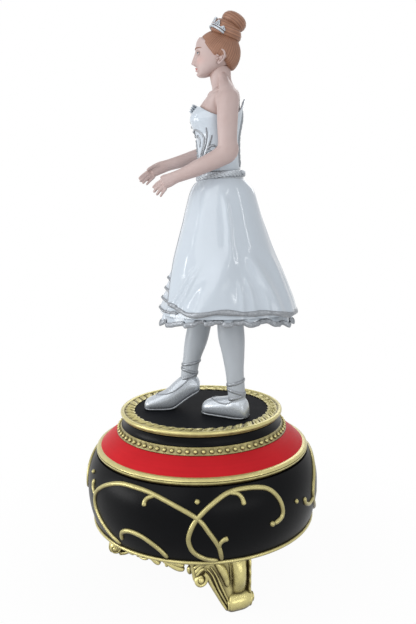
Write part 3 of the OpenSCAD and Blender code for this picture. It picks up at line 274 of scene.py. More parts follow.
def gold_finish(f, c, level=1.0, metal=0.2):
    """Gilding rubbed bright on open faces, with brown left in the hollows as patina and as painted shade,
    painted shade underneath and painted light on faces that look up.
    """
    cloud = f.noise(260, 4, 0.6)
    speck = f.noise(2400, 2)
    open_face = f.hollows(0.003)
    up = f.facing_up()
    # Painted shade: faces that look down are darkened towards brown.
    under = up.clamp(0.35, -0.65)
    # Where the gold is bright: random wear, the antiquing wash, and painted shade in the hollows and
    # underneath.
    wear_and_light = open_face * 1.5 - 0.5 + (cloud - 0.5) * 0.5 - under * 0.75 - f.attribute("wash") * 0.7
    clean_and_lit = wear_and_light.clamp(0.0, 0.8)
    # Random tone, with painted light on faces that look up.
    tone_and_top_light = (cloud * 0.6 + up * 0.15 + 0.2).clamp(0, 1)
    warm = tone_and_top_light.mix(rgba(c.gold, 0.7 * level), rgba(c.gold, 1.3 * level))
    f.bump(speck * 0.35 + cloud, 0.00022, 0.5)
    return f.set(
        Base_Color=clean_and_lit.mix(rgba(c.gold_deep), warm),
        Metallic=clean_and_lit * metal + 0.2,
        Roughness=0.36 - clean_and_lit * 0.12 + (speck - 0.5) * 0.1,
        Specular_IOR_Level=0.3,
    )


def cast_gold_finish(f, c):
    """Burnished gilding of the cast feet."""
    return gold_finish(f, c, 1.12, 0.3)


def stem_gold_finish(f, c):
    """Duller gilding of the scrollwork."""
    return gold_finish(f, c, 0.78)


def black_finish(f, c):
    """Satin black lacquer, brushed on over cast resin."""
    cloud = f.noise(90, 5, 0.6)
    fine = f.noise(900, 3)
    f.bump(cloud + fine * 0.25, 0.00012, 0.35)
    return f.set(
        Base_Color=cloud.mix(rgba(c.black, 0.75), rgba(c.black, 1.5)),
        Roughness=cloud * 0.1 + 0.28,
        Specular_IOR_Level=0.075,
    )


def platform_finish(f, c):
    """Duller black of the platform, a little dusty."""
    cloud = f.noise(70, 5, 0.65)
    fine = f.noise(700, 3)
    f.bump(cloud + fine * 0.3, 0.0003, 0.4)
    return f.set(
        Base_Color=cloud.mix(rgba(c.black, 2.4), rgba(c.black, 4.8)),
        Roughness=cloud * 0.2 + 0.55,
        Specular_IOR_Level=0.03,
    )


def red_finish(f, c):
    """Crimson lacquer with faint brush marks round the lid."""
    cloud = f.noise(60, 4, 0.6)
    brush = f.noise(40, 3, 0.5, f.stretched(1, 1, 30))
    f.bump(brush + cloud * 0.4, 0.00015, 0.3)
    return f.set(
        Base_Color=(cloud * 0.6 + brush * 0.4).mix(rgba(c.red, 0.8), rgba(c.red, 1.16)),
        Roughness=cloud * 0.14 + 0.32,
        Specular_IOR_Level=0.05,
    )


def enamel_finish(f, c):
    """White gloss enamel with a little grey painted shade in the folds."""
    cloud = f.noise(45, 4, 0.55)
    open_face = f.hollows(0.006)
    # Painted shade: grey in the folds and hollows, with a little random tone.
    shade = (open_face * 0.9 + cloud * 0.2).clamp(0.15, 0.95)
    f.bump(cloud, 0.00035, 0.35)
    return f.set(
        Base_Color=shade.mix(rgba(c.enamel, 0.62), rgba(c.enamel, 1.04)),
        Roughness=cloud * 0.06 + 0.08,
        Specular_IOR_Level=0.4,
        Coat_Weight=0.12,
        Coat_Roughness=0.06,
    )


def silver_finish(f, c):
    """Silver paint full of fine flakes, with painted shade in its hollows."""
    flake = f.sparkle(2600)
    cloud = f.noise(300, 3)
    open_face = f.hollows(0.0016)
    # Painted shade: the hollows darken, with a little random tone.
    clean_and_lit = (open_face * 1.2 - 0.2 + (cloud - 0.5) * 0.5).clamp(0.0, 0.8)
    f.bump(flake * 0.7 + cloud, 0.00018, 0.5)
    bright = flake.mix(rgba(c.silver, 0.8), rgba(c.silver, 1.5))
    return f.set(
        Base_Color=clean_and_lit.mix(rgba(c.silver, 0.45), bright),
        Metallic=0.55,
        Roughness=0.5 - flake * 0.2,
    )


def slipper_finish(f, c):
    """Pearl silver of the slippers, with painted shade towards the soles and in the hollows and painted light
    on faces that look up; the instep shows the stocking.
    """
    flake = f.sparkle(3400)
    cloud = f.noise(160, 4)
    open_face = f.hollows(0.004)
    # Painted light and shade: lighter on faces that look up, darker on faces that look down and in the
    # hollows, with a little random tone.
    clean_and_lit = (open_face * 0.5 + f.facing_up() * 0.45 + (cloud - 0.5) * 0.14 + 0.2).clamp(0.0, 0.95)
    f.bump(cloud + flake * 0.2, 0.00006, 0.12)
    pearl = clean_and_lit.mix(rgba(c.slipper, 0.5), rgba(c.slipper, 1.45))
    return f.set(
        Base_Color=f.attribute("instep").mix(pearl, rgba(c.stocking, 1.25)),
        Metallic=0.3,
        Roughness=0.3 - flake * 0.05,
    )


def stocking_finish(f, c):
    """Cool white paint, satin, with painted shade in the hollows."""
    cloud = f.noise(120, 4)
    open_face = f.hollows(0.004)
    f.bump(cloud, 0.0002, 0.3)
    # Painted shade: the hollows darken, with a little random tone.
    shade = (open_face * 0.8 + cloud * 0.3).clamp(0.2, 1)
    return f.set(
        Base_Color=shade.mix(rgba(c.stocking, 0.7), rgba(c.stocking, 1.08)),
        Roughness=cloud * 0.1 + 0.38,
    )


def skin_finish(f, c):
    """Satin flesh paint with warm painted shade in the hollows, rosier where the sculpt is marked so."""
    cloud = f.noise(110, 4)
    open_face = f.hollows(0.0035)
    # Painted shade: the hollows turn to a warm dark flesh tone, with a little random tone.
    flesh = (open_face * 0.8 + cloud * 0.3).clamp(0.25, 1).mix(rgba(c.skin_painted_shade), rgba(c.skin, 1.08))
    rosy = f.attribute("rose").mix(flesh, (0.60, 0.27, 0.22, 1))
    f.bump(cloud, 0.00015, 0.25)
    return f.set(
        Base_Color=f.attribute("lips").mix(rosy, rgba(c.lips)),
        Roughness=cloud * 0.1 + 0.42,
    )


def hair_finish(f, c):
    """Brown paint, darker between the combed strands."""
    strand = f.attribute("strand")
    cloud = f.noise(140, 4)
    mixed = (strand * 0.75 + cloud * 0.4).clamp(0.1, 1.0)
    f.bump(cloud, 0.0001, 0.3)
    return f.set(Base_Color=mixed.mix(rgba(c.hair_deep), rgba(c.hair, 1.4)), Roughness=0.55 - cloud * 0.15)


def metal_finish(f, colour, grain_scale, stretch, grain_height, metal, rough):
    """Bare metal with a fine grain."""
    grain = f.noise(grain_scale, 3, 0.6, f.stretched(*stretch))
    f.bump(grain, grain_height, 0.4)
    return f.set(
        Base_Color=grain.mix(rgba(colour, 0.75), rgba(colour, 1.2)),
        Metallic=metal,
        Roughness=grain * 0.2 + rough,
    )


def brass_finish(f, c):
    """Turned brass."""
    return metal_finish(f, c.brass, 500, (1, 1, 6), 0.00008, 0.95, 0.22)


def steel_finish(f, c):
    """Ground steel."""
    return metal_finish(f, c.steel, 700, (1, 5, 1), 0.00006, 1.0, 0.25)


def flock_finish(f, c):
    """Short red flock."""
    fibre = f.noise(2600, 2)
    patch = f.noise(60, 3)
    f.bump(fibre, 0.0006, 0.7)
    return f.set(
        Base_Color=(fibre * 0.5 + patch * 0.5).mix(rgba(c.flock, 0.45), rgba(c.flock, 1.4)),
        Roughness=0.95,
        Sheen_Weight=0.4,
    )


def painted(colour, rough):
    """A small painted detail with a little variation."""

    def maker(f, _):
        cloud = f.noise(900, 2)
        f.bump(cloud, 0.00005, 0.3)
        return f.set(Base_Color=cloud.mix(rgba(colour, 0.8), rgba(colour, 1.2)), Roughness=rough)

    return maker


FINISH_MAKERS = {
    "gold": gold_finish,
    "cast_gold": cast_gold_finish,
    "stem_gold": stem_gold_finish,
    "black": black_finish,
    "platform_black": platform_finish,
    "red": red_finish,
    "enamel": enamel_finish,
    "silver": silver_finish,
    "slipper": slipper_finish,
    "stocking": stocking_finish,
    "skin": skin_finish,
    "hair": hair_finish,
    "brass": brass_finish,
    "steel": steel_finish,
    "flock": flock_finish,
    "eye_white": painted((0.66, 0.66, 0.66), 0.25),
    "iris": painted((0.10, 0.17, 0.22), 0.2),
    "pupil": painted((0.01, 0.01, 0.012), 0.15),
    "brow": painted((0.22, 0.10, 0.06), 0.6),
}


# Curves and surfaces, in millimetres


def curve_through(stations, steps):
    """Points on a smooth curve through the stations, which may carry widths as further columns."""
    p = np.asarray(stations, float)
    last = len(p) - 1
    t = np.linspace(0, last, last * steps + 1)
    i = np.minimum(t.astype(int), last - 1)
    f = (t - i)[:, None]
    a, b, c, d = (p[np.clip(i + k, 0, last)] for k in (-1, 0, 1, 2))
    return 0.5 * (2 * b + (c - a) * f + (2 * a - 5 * b + 4 * c - d) * f**2 + (3 * b - a - 3 * c + d) * f**3)


def unit(v):
    """Vectors brought to length 1."""
    return v / np.maximum(np.linalg.norm(v, axis=-1, keepdims=True), 1e-9)


def turn(count):
    """Angles round a full turn."""
    return np.linspace(0, 2 * np.pi, count, endpoint=False)


def bell(x, middle, width):
    """1 at the middle, falling smoothly to 0 on both sides."""
    return np.exp(-(((x - middle) / width) ** 2))


def ease(x, start, end):
    """0 at start and 1 at end, with a smooth step between them."""
    t = np.clip((x - start) / (end - start), 0, 1)
    return t * t * (3 - 2 * t)


def wrapped(angle):
    """Angles brought between minus and plus half a turn."""
    return (angle + np.pi) % (2 * np.pi) - np.pi


def outward(angle):
    """Level directions at angles round an upright axis."""
    return np.stack([np.cos(angle), np.sin(angle), 0 * angle], -1)


def oval(angle, z, wide, deep, x=0.0, y=0.0):
    """Points of level ovals round an upright axis at x and y."""
    return np.stack(np.broadcast_arrays(x + wide * np.cos(angle), y + deep * np.sin(angle), z), -1)


def columns_at(stations, steps, place):
    """The stations' further columns at values of the first, on the smooth curve through them."""
    s = curve_through(stations, steps)
    s = s[np.argsort(s[:, 0])]
    return [np.interp(place, s[:, 0], column) for column in s[:, 1:].T]


def level_rings(stations, steps, sides):
    """Level rings from stations [height, x, y, half width, half depth]."""
    z, x, y, wide, deep = curve_through(stations, steps).T[..., None]
    return oval(turn(sides), z, wide, deep, x, y)


def tube(path, across, up, lift, sides=12, ends=3):
    """Rings round a path, rounded off at its ends. Lift points to its upper side, at each point or once."""
    path = np.asarray(path, float)
    m = len(path)
    along = unit(np.gradient(path, axis=0))
    lift = np.broadcast_to(np.asarray(lift, float), path.shape)
    side = unit(np.cross(along, lift))
    top = np.cross(side, along)
    count = np.arange(m)
    near = np.minimum(count, m - 1 - count)
    fade = np.ones(m)
    if ends:
        round_off = np.sqrt(np.clip(1 - (1 - (near + 0.15) / ends) ** 2, 0, 1))
        fade = np.where(near < ends, round_off, 1)
    across = np.broadcast_to(across, m) * fade
    up = np.broadcast_to(up, m) * fade
    a = turn(sides)
    return (
        path[:, None]
        + side[:, None] * (across[:, None] * np.cos(a))[..., None]
        + top[:, None] * (up[:, None] * np.sin(a))[..., None]
    )


def turned_about(points, angle):
    """Points turned about the box's axis by an angle in degrees."""
    c, s = math.cos(math.radians(angle)), math.sin(math.radians(angle))
    return points @ np.array([[c, s, 0], [-s, c, 0], [0, 0, 1]])


class Form:
    """Surfaces collected into one piece."""

    def __init__(self):
        self.points, self.faces, self.marks, self.count = [], [], {}, 0

    def surface(self, grid, wrap=True, caps=True):
        """Quads through rows of points. Wrap closes the rows into rings, and caps fill the end rings."""
        rows, columns = grid.shape[:2]
        index = np.arange(rows * columns).reshape(rows, columns) + self.count
        following = np.roll(index, -1, 1) if wrap else index[:, 1:]
        index_used = index if wrap else index[:, :-1]
        quads = np.stack([index_used[:-1], following[:-1], following[1:], index_used[1:]], -1).reshape(-1, 4)
        self.faces += quads.tolist()
        self.points.append(grid.reshape(-1, 3))
        self.count += rows * columns
        if caps and wrap:
            for ring, flip in ((index[0], True), (index[-1], False)):
                order = ring[::-1] if flip else ring
                self.faces.append(order.tolist())
        return self

    def mark(self, name, values):
        """A value per point of the last surface, for the finish to read."""
        self.marks.setdefault(name, []).append((self.count - values.size, values.ravel()))

    def turned(self, profile, sides=256):
        """A closed profile of [radius, height] turned about the axis."""
        r, z = np.vstack([profile, profile[:1]]).T[..., None]
        return self.surface(oval(turn(sides), z, r, r), caps=False)

    def ball(self, centre, radii, axis=(0, 0, 1), sides=16):
        """A ball, squashed along its axis."""
        axis = unit(np.asarray(axis, float))
        other = unit(np.cross(axis, (0.3, 0.9, 0.1)))
        third = np.cross(axis, other)
        polar = np.linspace(0.06, np.pi - 0.06, sides // 2 + 1)[:, None]
        a = turn(sides)[None]
        local = np.stack([np.sin(polar) * np.cos(a), np.sin(polar) * np.sin(a), -np.cos(polar) + 0 * a], -1)
        local = local * np.asarray(radii, float)
        return self.surface(np.asarray(centre, float) + local @ np.stack([other, third, axis]))

    def piece(self, name, finish_name, body, slot, stands_for=(), crease=40):
        """Makes the object, gives it its finish and sets it on its body."""
        mesh = bpy.data.meshes.new(name)
        points = np.vstack(self.points) * MM
        mesh.from_pydata(points.tolist(), [], self.faces)
        mesh.validate()
        for mark, parts in self.marks.items():
            values = np.zeros(len(points), np.float32)
            for start, part in parts:
                values[start : start + len(part)] = part
            mesh.attributes.new(mark, "FLOAT", "POINT").data.foreach_set("value", values)
        made = bpy.data.objects.new(name, mesh)
        bpy.context.scene.collection.objects.link(made)
        return dress(made, finish_name, body, stands_for, crease)


def dress(made, finish_name, body, stands_for=(), crease=40):
    """Smooth shading, finish, body and the solids that the piece stands for."""
    mesh = made.data
    mesh.polygons.foreach_set("use_smooth", np.ones(len(mesh.polygons), bool))
    if crease:
        mesh.set_sharp_from_angle(angle=math.radians(crease))
    mesh.materials.clear()
    mesh.materials.append(finish(finish_name))
    if stands_for:
        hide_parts(*stands_for)
    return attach(made, body)


# Bowl and stand


def belly(z):
    """Radius of the bowl at a height."""
    lower = BOWL_R - (BOWL_R - BASE_R) * np.clip((BELLY_Z - z) / BELLY_H, 0, 2) ** 2.2
    upper = BOWL_R - (BOWL_R - MOUTH_R) * np.clip((z - BELLY_Z) / (SEAM_Z - BELLY_Z), 0, 2) ** 2.4
    return np.where(z < BELLY_Z, lower, upper)


def arc_profile(radius, height, size, start, end, count=12):
    """Part of a circle in a turned profile, from one angle to another in degrees."""
    a = np.radians(np.linspace(start, end, count))
    return np.stack([radius + size * np.cos(a), height + size * np.sin(a)], -1)


def seam_moulding(out_r, bottom, top):
    """Profile of one half of the rounded band at the seam, seated in the rebate."""
    middle, half = (LIP_Z + LID_LIP_Z) / 2, (LID_LIP_Z - LIP_Z) / 2
    z = np.linspace(bottom, top, 14)
    face = REBATE_R + (out_r - REBATE_R) * np.sqrt(np.clip(1 - 0.86 * ((z - middle) / half) ** 2, 0, 1))
    face = face - np.where(np.abs(z - SEAM_Z) < 0.16, 0.14, 0)
    return np.vstack([[[REBATE_R, bottom]], np.stack([face, z], -1), [[REBATE_R, top]]])


class JEWELBOX_OT_bowl(bpy.types.Operator):
    """Bowl with its mouth moulding and base ring"""

    bl_idname = "jewelbox.bowl"
    bl_label = "Bowl"

    def execute(self, context):
        wall, floor_z, ledge_z = 3.0, BASE_Z + 3, SEAM_Z - 4.2
        hole_r = 4.0
        outer = np.linspace(BASE_Z, LIP_Z, 60)
        inner = np.linspace(ledge_z - 4, floor_z, 40)
        mouth_r = REBATE_R - 2.6
        profile = [
            [[hole_r, BASE_Z], [BASE_R - 0.4, BASE_Z]],
            np.stack([belly(outer), outer], -1),
            [[REBATE_R, LIP_Z], [REBATE_R, SEAM_Z], [mouth_r, SEAM_Z], [mouth_r, ledge_z]],
            [[mouth_r - 1.8, ledge_z], [mouth_r - 1.8, ledge_z - 1.6]],
            np.stack([belly(inner) - wall, inner], -1),
            [[hole_r, floor_z]],
        ]
        Form().turned(np.vstack(profile)).piece("Bowl", "black", "bowl_body", "black_lacquer", ["bowl"])
        moulding = seam_moulding(LIP_R, LIP_Z, high("bowl_moulding")[2])
        Form().turned(moulding).piece("BowlMoulding", "gold", "bowl_body", "gold_paint", ["bowl_moulding"])
        half, ring_bore = (BASE_Z - FOOT_H) / 2, 44
        edge = arc_profile(BASE_R, FOOT_H + half, half, -90, 90, 12)
        ring = np.vstack([[[ring_bore, FOOT_H]], edge, [[ring_bore, BASE_Z]]])
        Form().turned(ring).piece("BaseRing", "gold", "bowl_body", "gold_paint", ["base_ring"])
        return {"FINISHED"}


# Scroll stems as [angle, share of the bowl's height]; the motif stands three times round the bowl
MOTIF_TURNS = (1.5, 127.5, 241.5)
STEM_LONG = [
    (-40, 0.03), (-49, 0.15), (-58, 0.37), (-58, 0.57), (-51, 0.74), (-41, 0.85), (-31, 0.87),
    (-21, 0.84), (-10, 0.74), (0, 0.59), (5, 0.4), (9, 0.2), (10.5, 0.0),
]
STEM_RETURN = [
    (9, 0.0), (3, 0.04), (-2, 0.14), (-4, 0.29), (-3, 0.44), (0, 0.59), (6, 0.75), (14, 0.87), (24, 0.89),
    (33, 0.84), (38, 0.7), (40, 0.53), (39, 0.43), (35, 0.38),
]
STEM_ARCH = [(-38, 0.12), (-37, 0.24), (-32, 0.3), (-25, 0.27), (-18, 0.15), (-14, 0.02)]
HOOKS = [
    [(-19, 0.83), (-22.5, 0.79), (-24, 0.74), (-24, 0.68)],
    [(14, 0.87), (18, 0.85), (20, 0.79), (20.5, 0.71)],
    [(9, 0.2), (9.5, 0.26), (11, 0.3), (13, 0.32)],
]
DOTS = [(34, 0.39, 1.9), (0, 0.79, 1.7)]
# Hooks and dots between the motifs, at their own angles round the bowl
SIDE_HOOKS = [
    [(-56.5, 0.55), (-60, 0.62), (-60.5, 0.73)],
    [(69.5, 0.42), (64, 0.38), (59, 0.44), (58, 0.53)],
    [(183.5, 0.55), (180, 0.62), (179.5, 0.73)],
]
SIDE_DOTS = [(-64.5, 0.79, 1.6), (51, 0.55, 1.6), (171, 0.66, 1.6)]


def on_bowl(course):
    """Points and surface normals on the bowl for [angle, share of height]."""
    a = np.radians(course[:, 0])
    z = BASE_Z + course[:, 1] * (SEAM_Z - BASE_Z)
    slope = (belly(z + 0.1) - belly(z - 0.1)) / 0.2
    out = np.stack([np.cos(a), np.sin(a), -slope], -1)
    return oval(a, z, belly(z), belly(z)), unit(out)


class JEWELBOX_OT_scrollwork(bpy.types.Operator):
    """Raised gold stems, hooks and dots on the bowl"""

    bl_idname = "jewelbox.scrollwork"
    bl_label = "Scrollwork"

    def execute(self, context):
        sizes = context.scene.jewel_box_sizes
        form = Form()

        def stem(course, width, swell, turn_by):
            """A rounded stem along a course; swell thickens its far end."""
            p, out = on_bowl(curve_through(course, 10))
            run = np.linspace(0, 1, len(p))
            half = sizes.stem_width / 2 * width * (1 + swell * run**3)
            rings = tube(p, half, sizes.stem_height * (1 + 0.5 * swell * run**3), out, 14, 5)
            form.surface(turned_about(rings, turn_by))

        def dot(angle, share, radius, turn_by):
            """A round dot."""
            p, out = on_bowl(np.array([[angle, share]]))
            form.ball(turned_about(p, turn_by)[0], (radius * 0.8,) * 3, turned_about(out, turn_by)[0])

        for turn_by in MOTIF_TURNS:
            stem(STEM_LONG, 1, 0, turn_by)
            stem(STEM_RETURN, 1.04, 0, turn_by)
            stem(STEM_ARCH, 1, 0, turn_by)
            for hook in HOOKS:
                stem(hook, 0.88, 0.35, turn_by)
            for place in DOTS:
                dot(*place, turn_by)
        for hook in SIDE_HOOKS:
            stem(hook, 0.88, 0.35, 0)
        for place in SIDE_DOTS:
            dot(*place, 0)
        form.piece("Scrollwork", "stem_gold", "bowl_body", "gold_paint", ["bowl_scrollwork"], 60)
        return {"FINISHED"}


# The feet's angles round the box, and their sizes: R is outwards, T across and Z up
FOOT_ANGLES = {"foot_front": -95, "foot_left": 25, "foot_right": 145}
TOE_PLACE_R = 53.5
TOE_R = 5.2
TOE_HALF = 7.9
LEG_TOP_R = TOE_PLACE_R + 6
LEG_BACK_R = TOE_PLACE_R - 5.5
BRACKET_R = LEG_TOP_R - 6.5
VOLUTE_T, VOLUTE_Z, VOLUTE_R = -24.0, FOOT_H - 8.8, 3.3


def leg_surface(form):
    """A pillow-shaped panel between two ribs."""
    t = np.linspace(-8.8, 5.0, 70)
    rows = np.linspace(0, 1, 40)[:, None]
    swell = np.sin(np.pi * np.clip(0.96 * rows + 0.06, 0, 1)) ** 0.75
    panel = 4.9 * np.clip(1 - ((t + 3.0 - 0.4 * rows) / (5.2 - 1.1 * rows)) ** 2, 0, 1) ** 0.62 * swell
    rib = 2.2 * np.clip(1 - ((t - 3.8) / 1.2) ** 2, 0, 1) ** 0.5
    leaf = 1.4 * np.clip(1 - ((t + 8.1) / 0.8) ** 2, 0, 1) ** 0.5
    notch = 0.25 * np.sin(rows * 30) * bell(t, 3.8, 0.9)
    front = LEG_TOP_R - 4.2 + 0.8 * np.sin(np.pi * rows) - 1.6 * rows**2 + panel + rib + leaf + notch
    narrow = 1 - 0.1 * np.sin(np.pi * rows)
    z = FOOT_H - (FOOT_H - 1.2 * TOE_R) * rows
    face = np.stack([front, t * narrow, z + 0 * t], -1)
    back = np.stack([LEG_BACK_R + 1.5 * rows + 0 * t, t * narrow * 0.96, z + 0 * t], -1)
    form.surface(np.concatenate([face, back[:, ::-1]], 1))


def above_floor(points):
    """Points with those below the floor lifted onto it."""
    return np.maximum(points, (-np.inf, -np.inf, 0))


def toe_surface(form):
    """The roll that the foot stands on, scrolled at its ends and rounded at one, and the tail behind it."""
    middle_z, middle_t = TOE_R, -1.8
    roll_r = TOE_R + 0.1
    square_end, round_end = 7, 2.3
    s = np.linspace(-1, 1, 41)
    barrel = roll_r * np.clip(1 - 0.97 * np.abs(s) ** np.where(s > 0, round_end, square_end), 0, 1) ** 0.5
    path = np.stack([TOE_PLACE_R + 0.2 + 0 * s, middle_t + TOE_HALF * s, middle_z + 0 * s], -1)
    form.surface(above_floor(tube(path, barrel, barrel, (0, 0, 1), 40, 0)))
    for side, dome, raised in ((-1, square_end, 0.7), (1, round_end, 0.65)):
        swirl = np.linspace(0, 3.3 * np.pi, 70)
        r = 1.2 + 3.1 * swirl / swirl[-1]
        end_face = TOE_HALF * (1 - (r / roll_r) ** 2) ** (1 / dome)
        reach = middle_t + side * (end_face + 0.4 * raised - 0.13)
        course = np.stack([TOE_PLACE_R - r * np.cos(swirl), reach, middle_z + r * np.sin(swirl)], -1)
        form.surface(tube(course, 0.5, raised, (0, side, 0), 10, 3))
        hub = (TOE_PLACE_R, middle_t + side * TOE_HALF, middle_z)
        form.ball(hub, (1.3, 1.3, 1.2 * raised), (0, side, 0), 14)
    tail = curve_through([(52, 1.0), (47.6, 1.4), (43.6, 4.2), (41, 8.6), (40, 14)], 8)
    run = np.linspace(0, 1, len(tail))
    path = np.stack([tail[:, 0], middle_t + 0 * run, tail[:, 1]], -1)
    form.surface(above_floor(tube(path, 6.4 - 1.6 * run, 1.1, (1, 0, 1), 24, 3)))
    for lane in (-4.6, 3.4):
        path = np.stack([tail[:, 0] - 0.3, lane + 0.8 * run, tail[:, 1] + 0.6], -1)
        form.surface(above_floor(tube(path, 0.8, 0.9, (1, 0, 1), 10, 3)))


def bracket_surface(form):
    """The web beside the leg with its volute, sweeping ribs and leaves."""
    top = FOOT_H - 0.1
    outline = [
        (-5, top), (-16, top), (-27.8, top), (-28, top - 3), (-27.6, top - 6), (-26.6, VOLUTE_Z - 1.6),
        (-24, VOLUTE_Z - 2.9), (-21.4, VOLUTE_Z - 1.8), (-19.6, VOLUTE_Z - 2), (-17.4, 15.6),
        (-14.6, 10.4), (-12, 5.6), (-9.6, 1.6), (-7, 2.6), (-5, 10), (-5, 20), (-5, top),
    ]
    web = curve_through(outline, 5)[:-1]
    middle = np.array([-13.5, FOOT_H - 6])
    layers = []
    for depth, shrink in ((0, 0.94), (0.4, 1), (2.4, 1), (3.1, 0.95), (3.5, 0.7), (3.6, 0.3)):
        flat = middle + (web - middle) * shrink
        layers.append(np.stack([BRACKET_R + depth + 0 * flat[:, 0], flat[:, 0], flat[:, 1]], -1))
    form.surface(np.stack(layers))
    face_r = BRACKET_R + 3.2
    swirl = np.radians(np.linspace(-420, 60, 50))
    r = np.linspace(0.9, VOLUTE_R, 50)
    coil = np.stack([VOLUTE_T + r * np.cos(swirl), VOLUTE_Z + r * np.sin(swirl)], -1)
    sweep = [coil[-1], (-20.4, VOLUTE_Z + 1), (-18, 17.6), (-15, 12), (-12.2, 6.8), (-9.6, 2.6)]
    ribs = [(np.vstack([coil, curve_through(sweep, 8)[1:]]), 1.2, 1.6)]
    for course, size, height in (
        ([(-21, FOOT_H - 3.4), (-17.6, FOOT_H - 8), (-14.6, 15), (-11.8, 9.4), (-9.2, 4.6)], 0.75, 1.3),
        ([(-18.8, FOOT_H - 3), (-15.6, FOOT_H - 8), (-12.8, 15.4), (-10.4, 10), (-8.6, 6)], 0.75, 1.3),
        ([(-15.6, FOOT_H - 1.8), (-12.9, FOOT_H - 5), (-10.6, FOOT_H - 9.6), (-9, 14.4)], 2.3, 2.4),
    ):
        ribs.append((curve_through(course, 8), size, height))
    for course, size, height in ribs:
        run = np.linspace(0, 1, len(course))
        thick = size * (0.5 + 0.5 * np.sin(np.pi * np.clip(run, 0.08, 0.92)))
        path = np.stack([face_r + 0.5 * np.sin(np.pi * run), course[:, 0], course[:, 1]], -1)
        form.surface(tube(path, thick, height * (0.7 + 0.3 * np.sin(np.pi * run)), (1, 0, 0), 14, 4))
    form.ball((face_r + 0.6, VOLUTE_T, VOLUTE_Z), (1.9, 1.9, 2.0), (1, 0, 0))
    hub = [(depth, VOLUTE_T, VOLUTE_Z) for depth in (BRACKET_R + 0.2, BRACKET_R + 1.8, face_r + 0.2)]
    form.surface(tube(hub, VOLUTE_R - 0.3, VOLUTE_R - 0.3, (0, 0, 1), 32, 0))
    leaves = [
        [(-21.6, FOOT_H - 1.6), (-24.4, FOOT_H - 2.4), (-26.8, FOOT_H - 5)],
        [(-22, FOOT_H - 3.4), (-24.4, FOOT_H - 4.2), (-26.2, FOOT_H - 6.6)],
        [(-16, FOOT_H - 1.2), (-20, FOOT_H - 0.9), (-25, FOOT_H - 1.1), (-27.4, FOOT_H - 2.4)],
    ]
    for leaf in leaves:
        flat = curve_through(leaf, 8)
        run = np.linspace(0, 1, len(flat))
        wide = 0.4 + 0.8 * np.sin(np.pi * np.clip(run * 0.9 + 0.08, 0, 1))
        path = np.stack([face_r + 0.2 + 0.5 * np.sin(np.pi * run), flat[:, 0], flat[:, 1]], -1)
        form.surface(tube(path, wide, 0.9, (1, 0, 0), 10, 3))


def foot_form():
    """One foot, with its toe towards +X and its bracket towards -Y."""
    form = Form()
    leg_surface(form)
    toe_surface(form)
    bracket_surface(form)
    return form


APRON_FROM, APRON_TO = 6.9, 88.6
# Leaves on a band as [angle from the foot, drop from its top]
APRON_LEAVES = [
    [(89, 4.4), (86, 4.2), (82, 3), (77, 1.4)],
    [(89, 2.6), (85, 2.2), (80, 1.4), (75, 0.8)],
    [(76, 3), (74, 2.8), (71.6, 1.6), (69, 1)],
    [(60, 2.2), (57, 2.2), (54, 1.4), (51, 0.8)],
    [(44, 1.8), (40, 1.8), (37, 1), (33, 0.8)],
]
# Rings on a band as [angle, half width in degrees, drop, half height]
APRON_RINGS = [(65.5, 3.2, 1.6, 1.6), (48, 2.4, 1.4, 1.2)]
# Buds on a band as [angle, drop, radius, half height]
APRON_BUDS = [(91.6, 1.2, 1.5, 1.5), (91.6, 4.6, 1.6, 2.3), (79.5, 3.4, 1.1, 1.1), (62, 2.6, 1, 1)]


def on_apron(course, foot_angle):
    """Points on a band for [angle from the foot, drop from its top], and their share of the way."""
    c = curve_through(course, 8)
    r = LEG_TOP_R - 1.6
    points = oval(np.radians(foot_angle + c[:, 0]), FOOT_H - 0.8 - 1.1 * c[:, 1], r, r)
    return points, np.linspace(0, 1, len(c))


def apron_form():
    """The bands between the feet, with a row of buds and leaves that shrinks away from each bracket."""
    form = Form()
    steps = 60
    a = np.radians(np.linspace(APRON_FROM, APRON_TO, steps))
    share = np.linspace(0, 1, steps)
    section = np.array([(-1.3, 0), (0.8, 0), (1.1, 0.15), (1.3, 0.5), (1.1, 0.85), (0.8, 1), (-1.3, 1)])
    r = LEG_TOP_R - 2.7 + section[:, 0]
    height = 2.2 + 2.2 * share**3
    z = FOOT_H - height[:, None] * section[:, 1]
    band = oval(a[:, None], z, r, r)
    for foot_angle in FOOT_ANGLES.values():
        form.surface(turned_about(band[:, ::-1], foot_angle))
        for leaf in APRON_LEAVES:
            path, run = on_apron(leaf, foot_angle)
            wide = 0.5 + 1.2 * np.sin(np.pi * np.clip(run * 0.85 + 0.12, 0, 1))
            form.surface(tube(path, wide, 1.5, path * (1, 1, 0), 12, 4))
        for middle, half_a, drop, half_d in APRON_RINGS:
            q = np.linspace(0, 2 * np.pi, 9)
            loop = np.stack([middle + half_a * np.cos(q), drop + half_d * np.sin(q)], -1)
            path, run = on_apron(loop, foot_angle)
            form.surface(tube(path, 0.75, 0.8, path * (1, 1, 0), 10, 2))
        for angle, drop, size, tall in APRON_BUDS:
            centre = on_apron([(angle, drop), (angle, drop + 0.1)], foot_angle)[0][0]
            form.ball(centre, (size, size, tall), (0, 0, 1), 16)
    return form


class JEWELBOX_OT_stand(bpy.types.Operator):
    """Three cast feet with volutes, and the bands between them"""

    bl_idname = "jewelbox.stand"
    bl_label = "Stand"

    def execute(self, context):
        for node, angle in FOOT_ANGLES.items():
            form = foot_form()
            form.points = [turned_about(p, angle) for p in form.points]
            form.piece(node.title().replace("_", ""), "cast_gold", "bowl_body", "gold_paint", [node], 50)
        apron_form().piece("ApronBands", "cast_gold", "bowl_body", "gold_paint", ["apron_bands"], 50)
        return {"FINISHED"}


# Lid


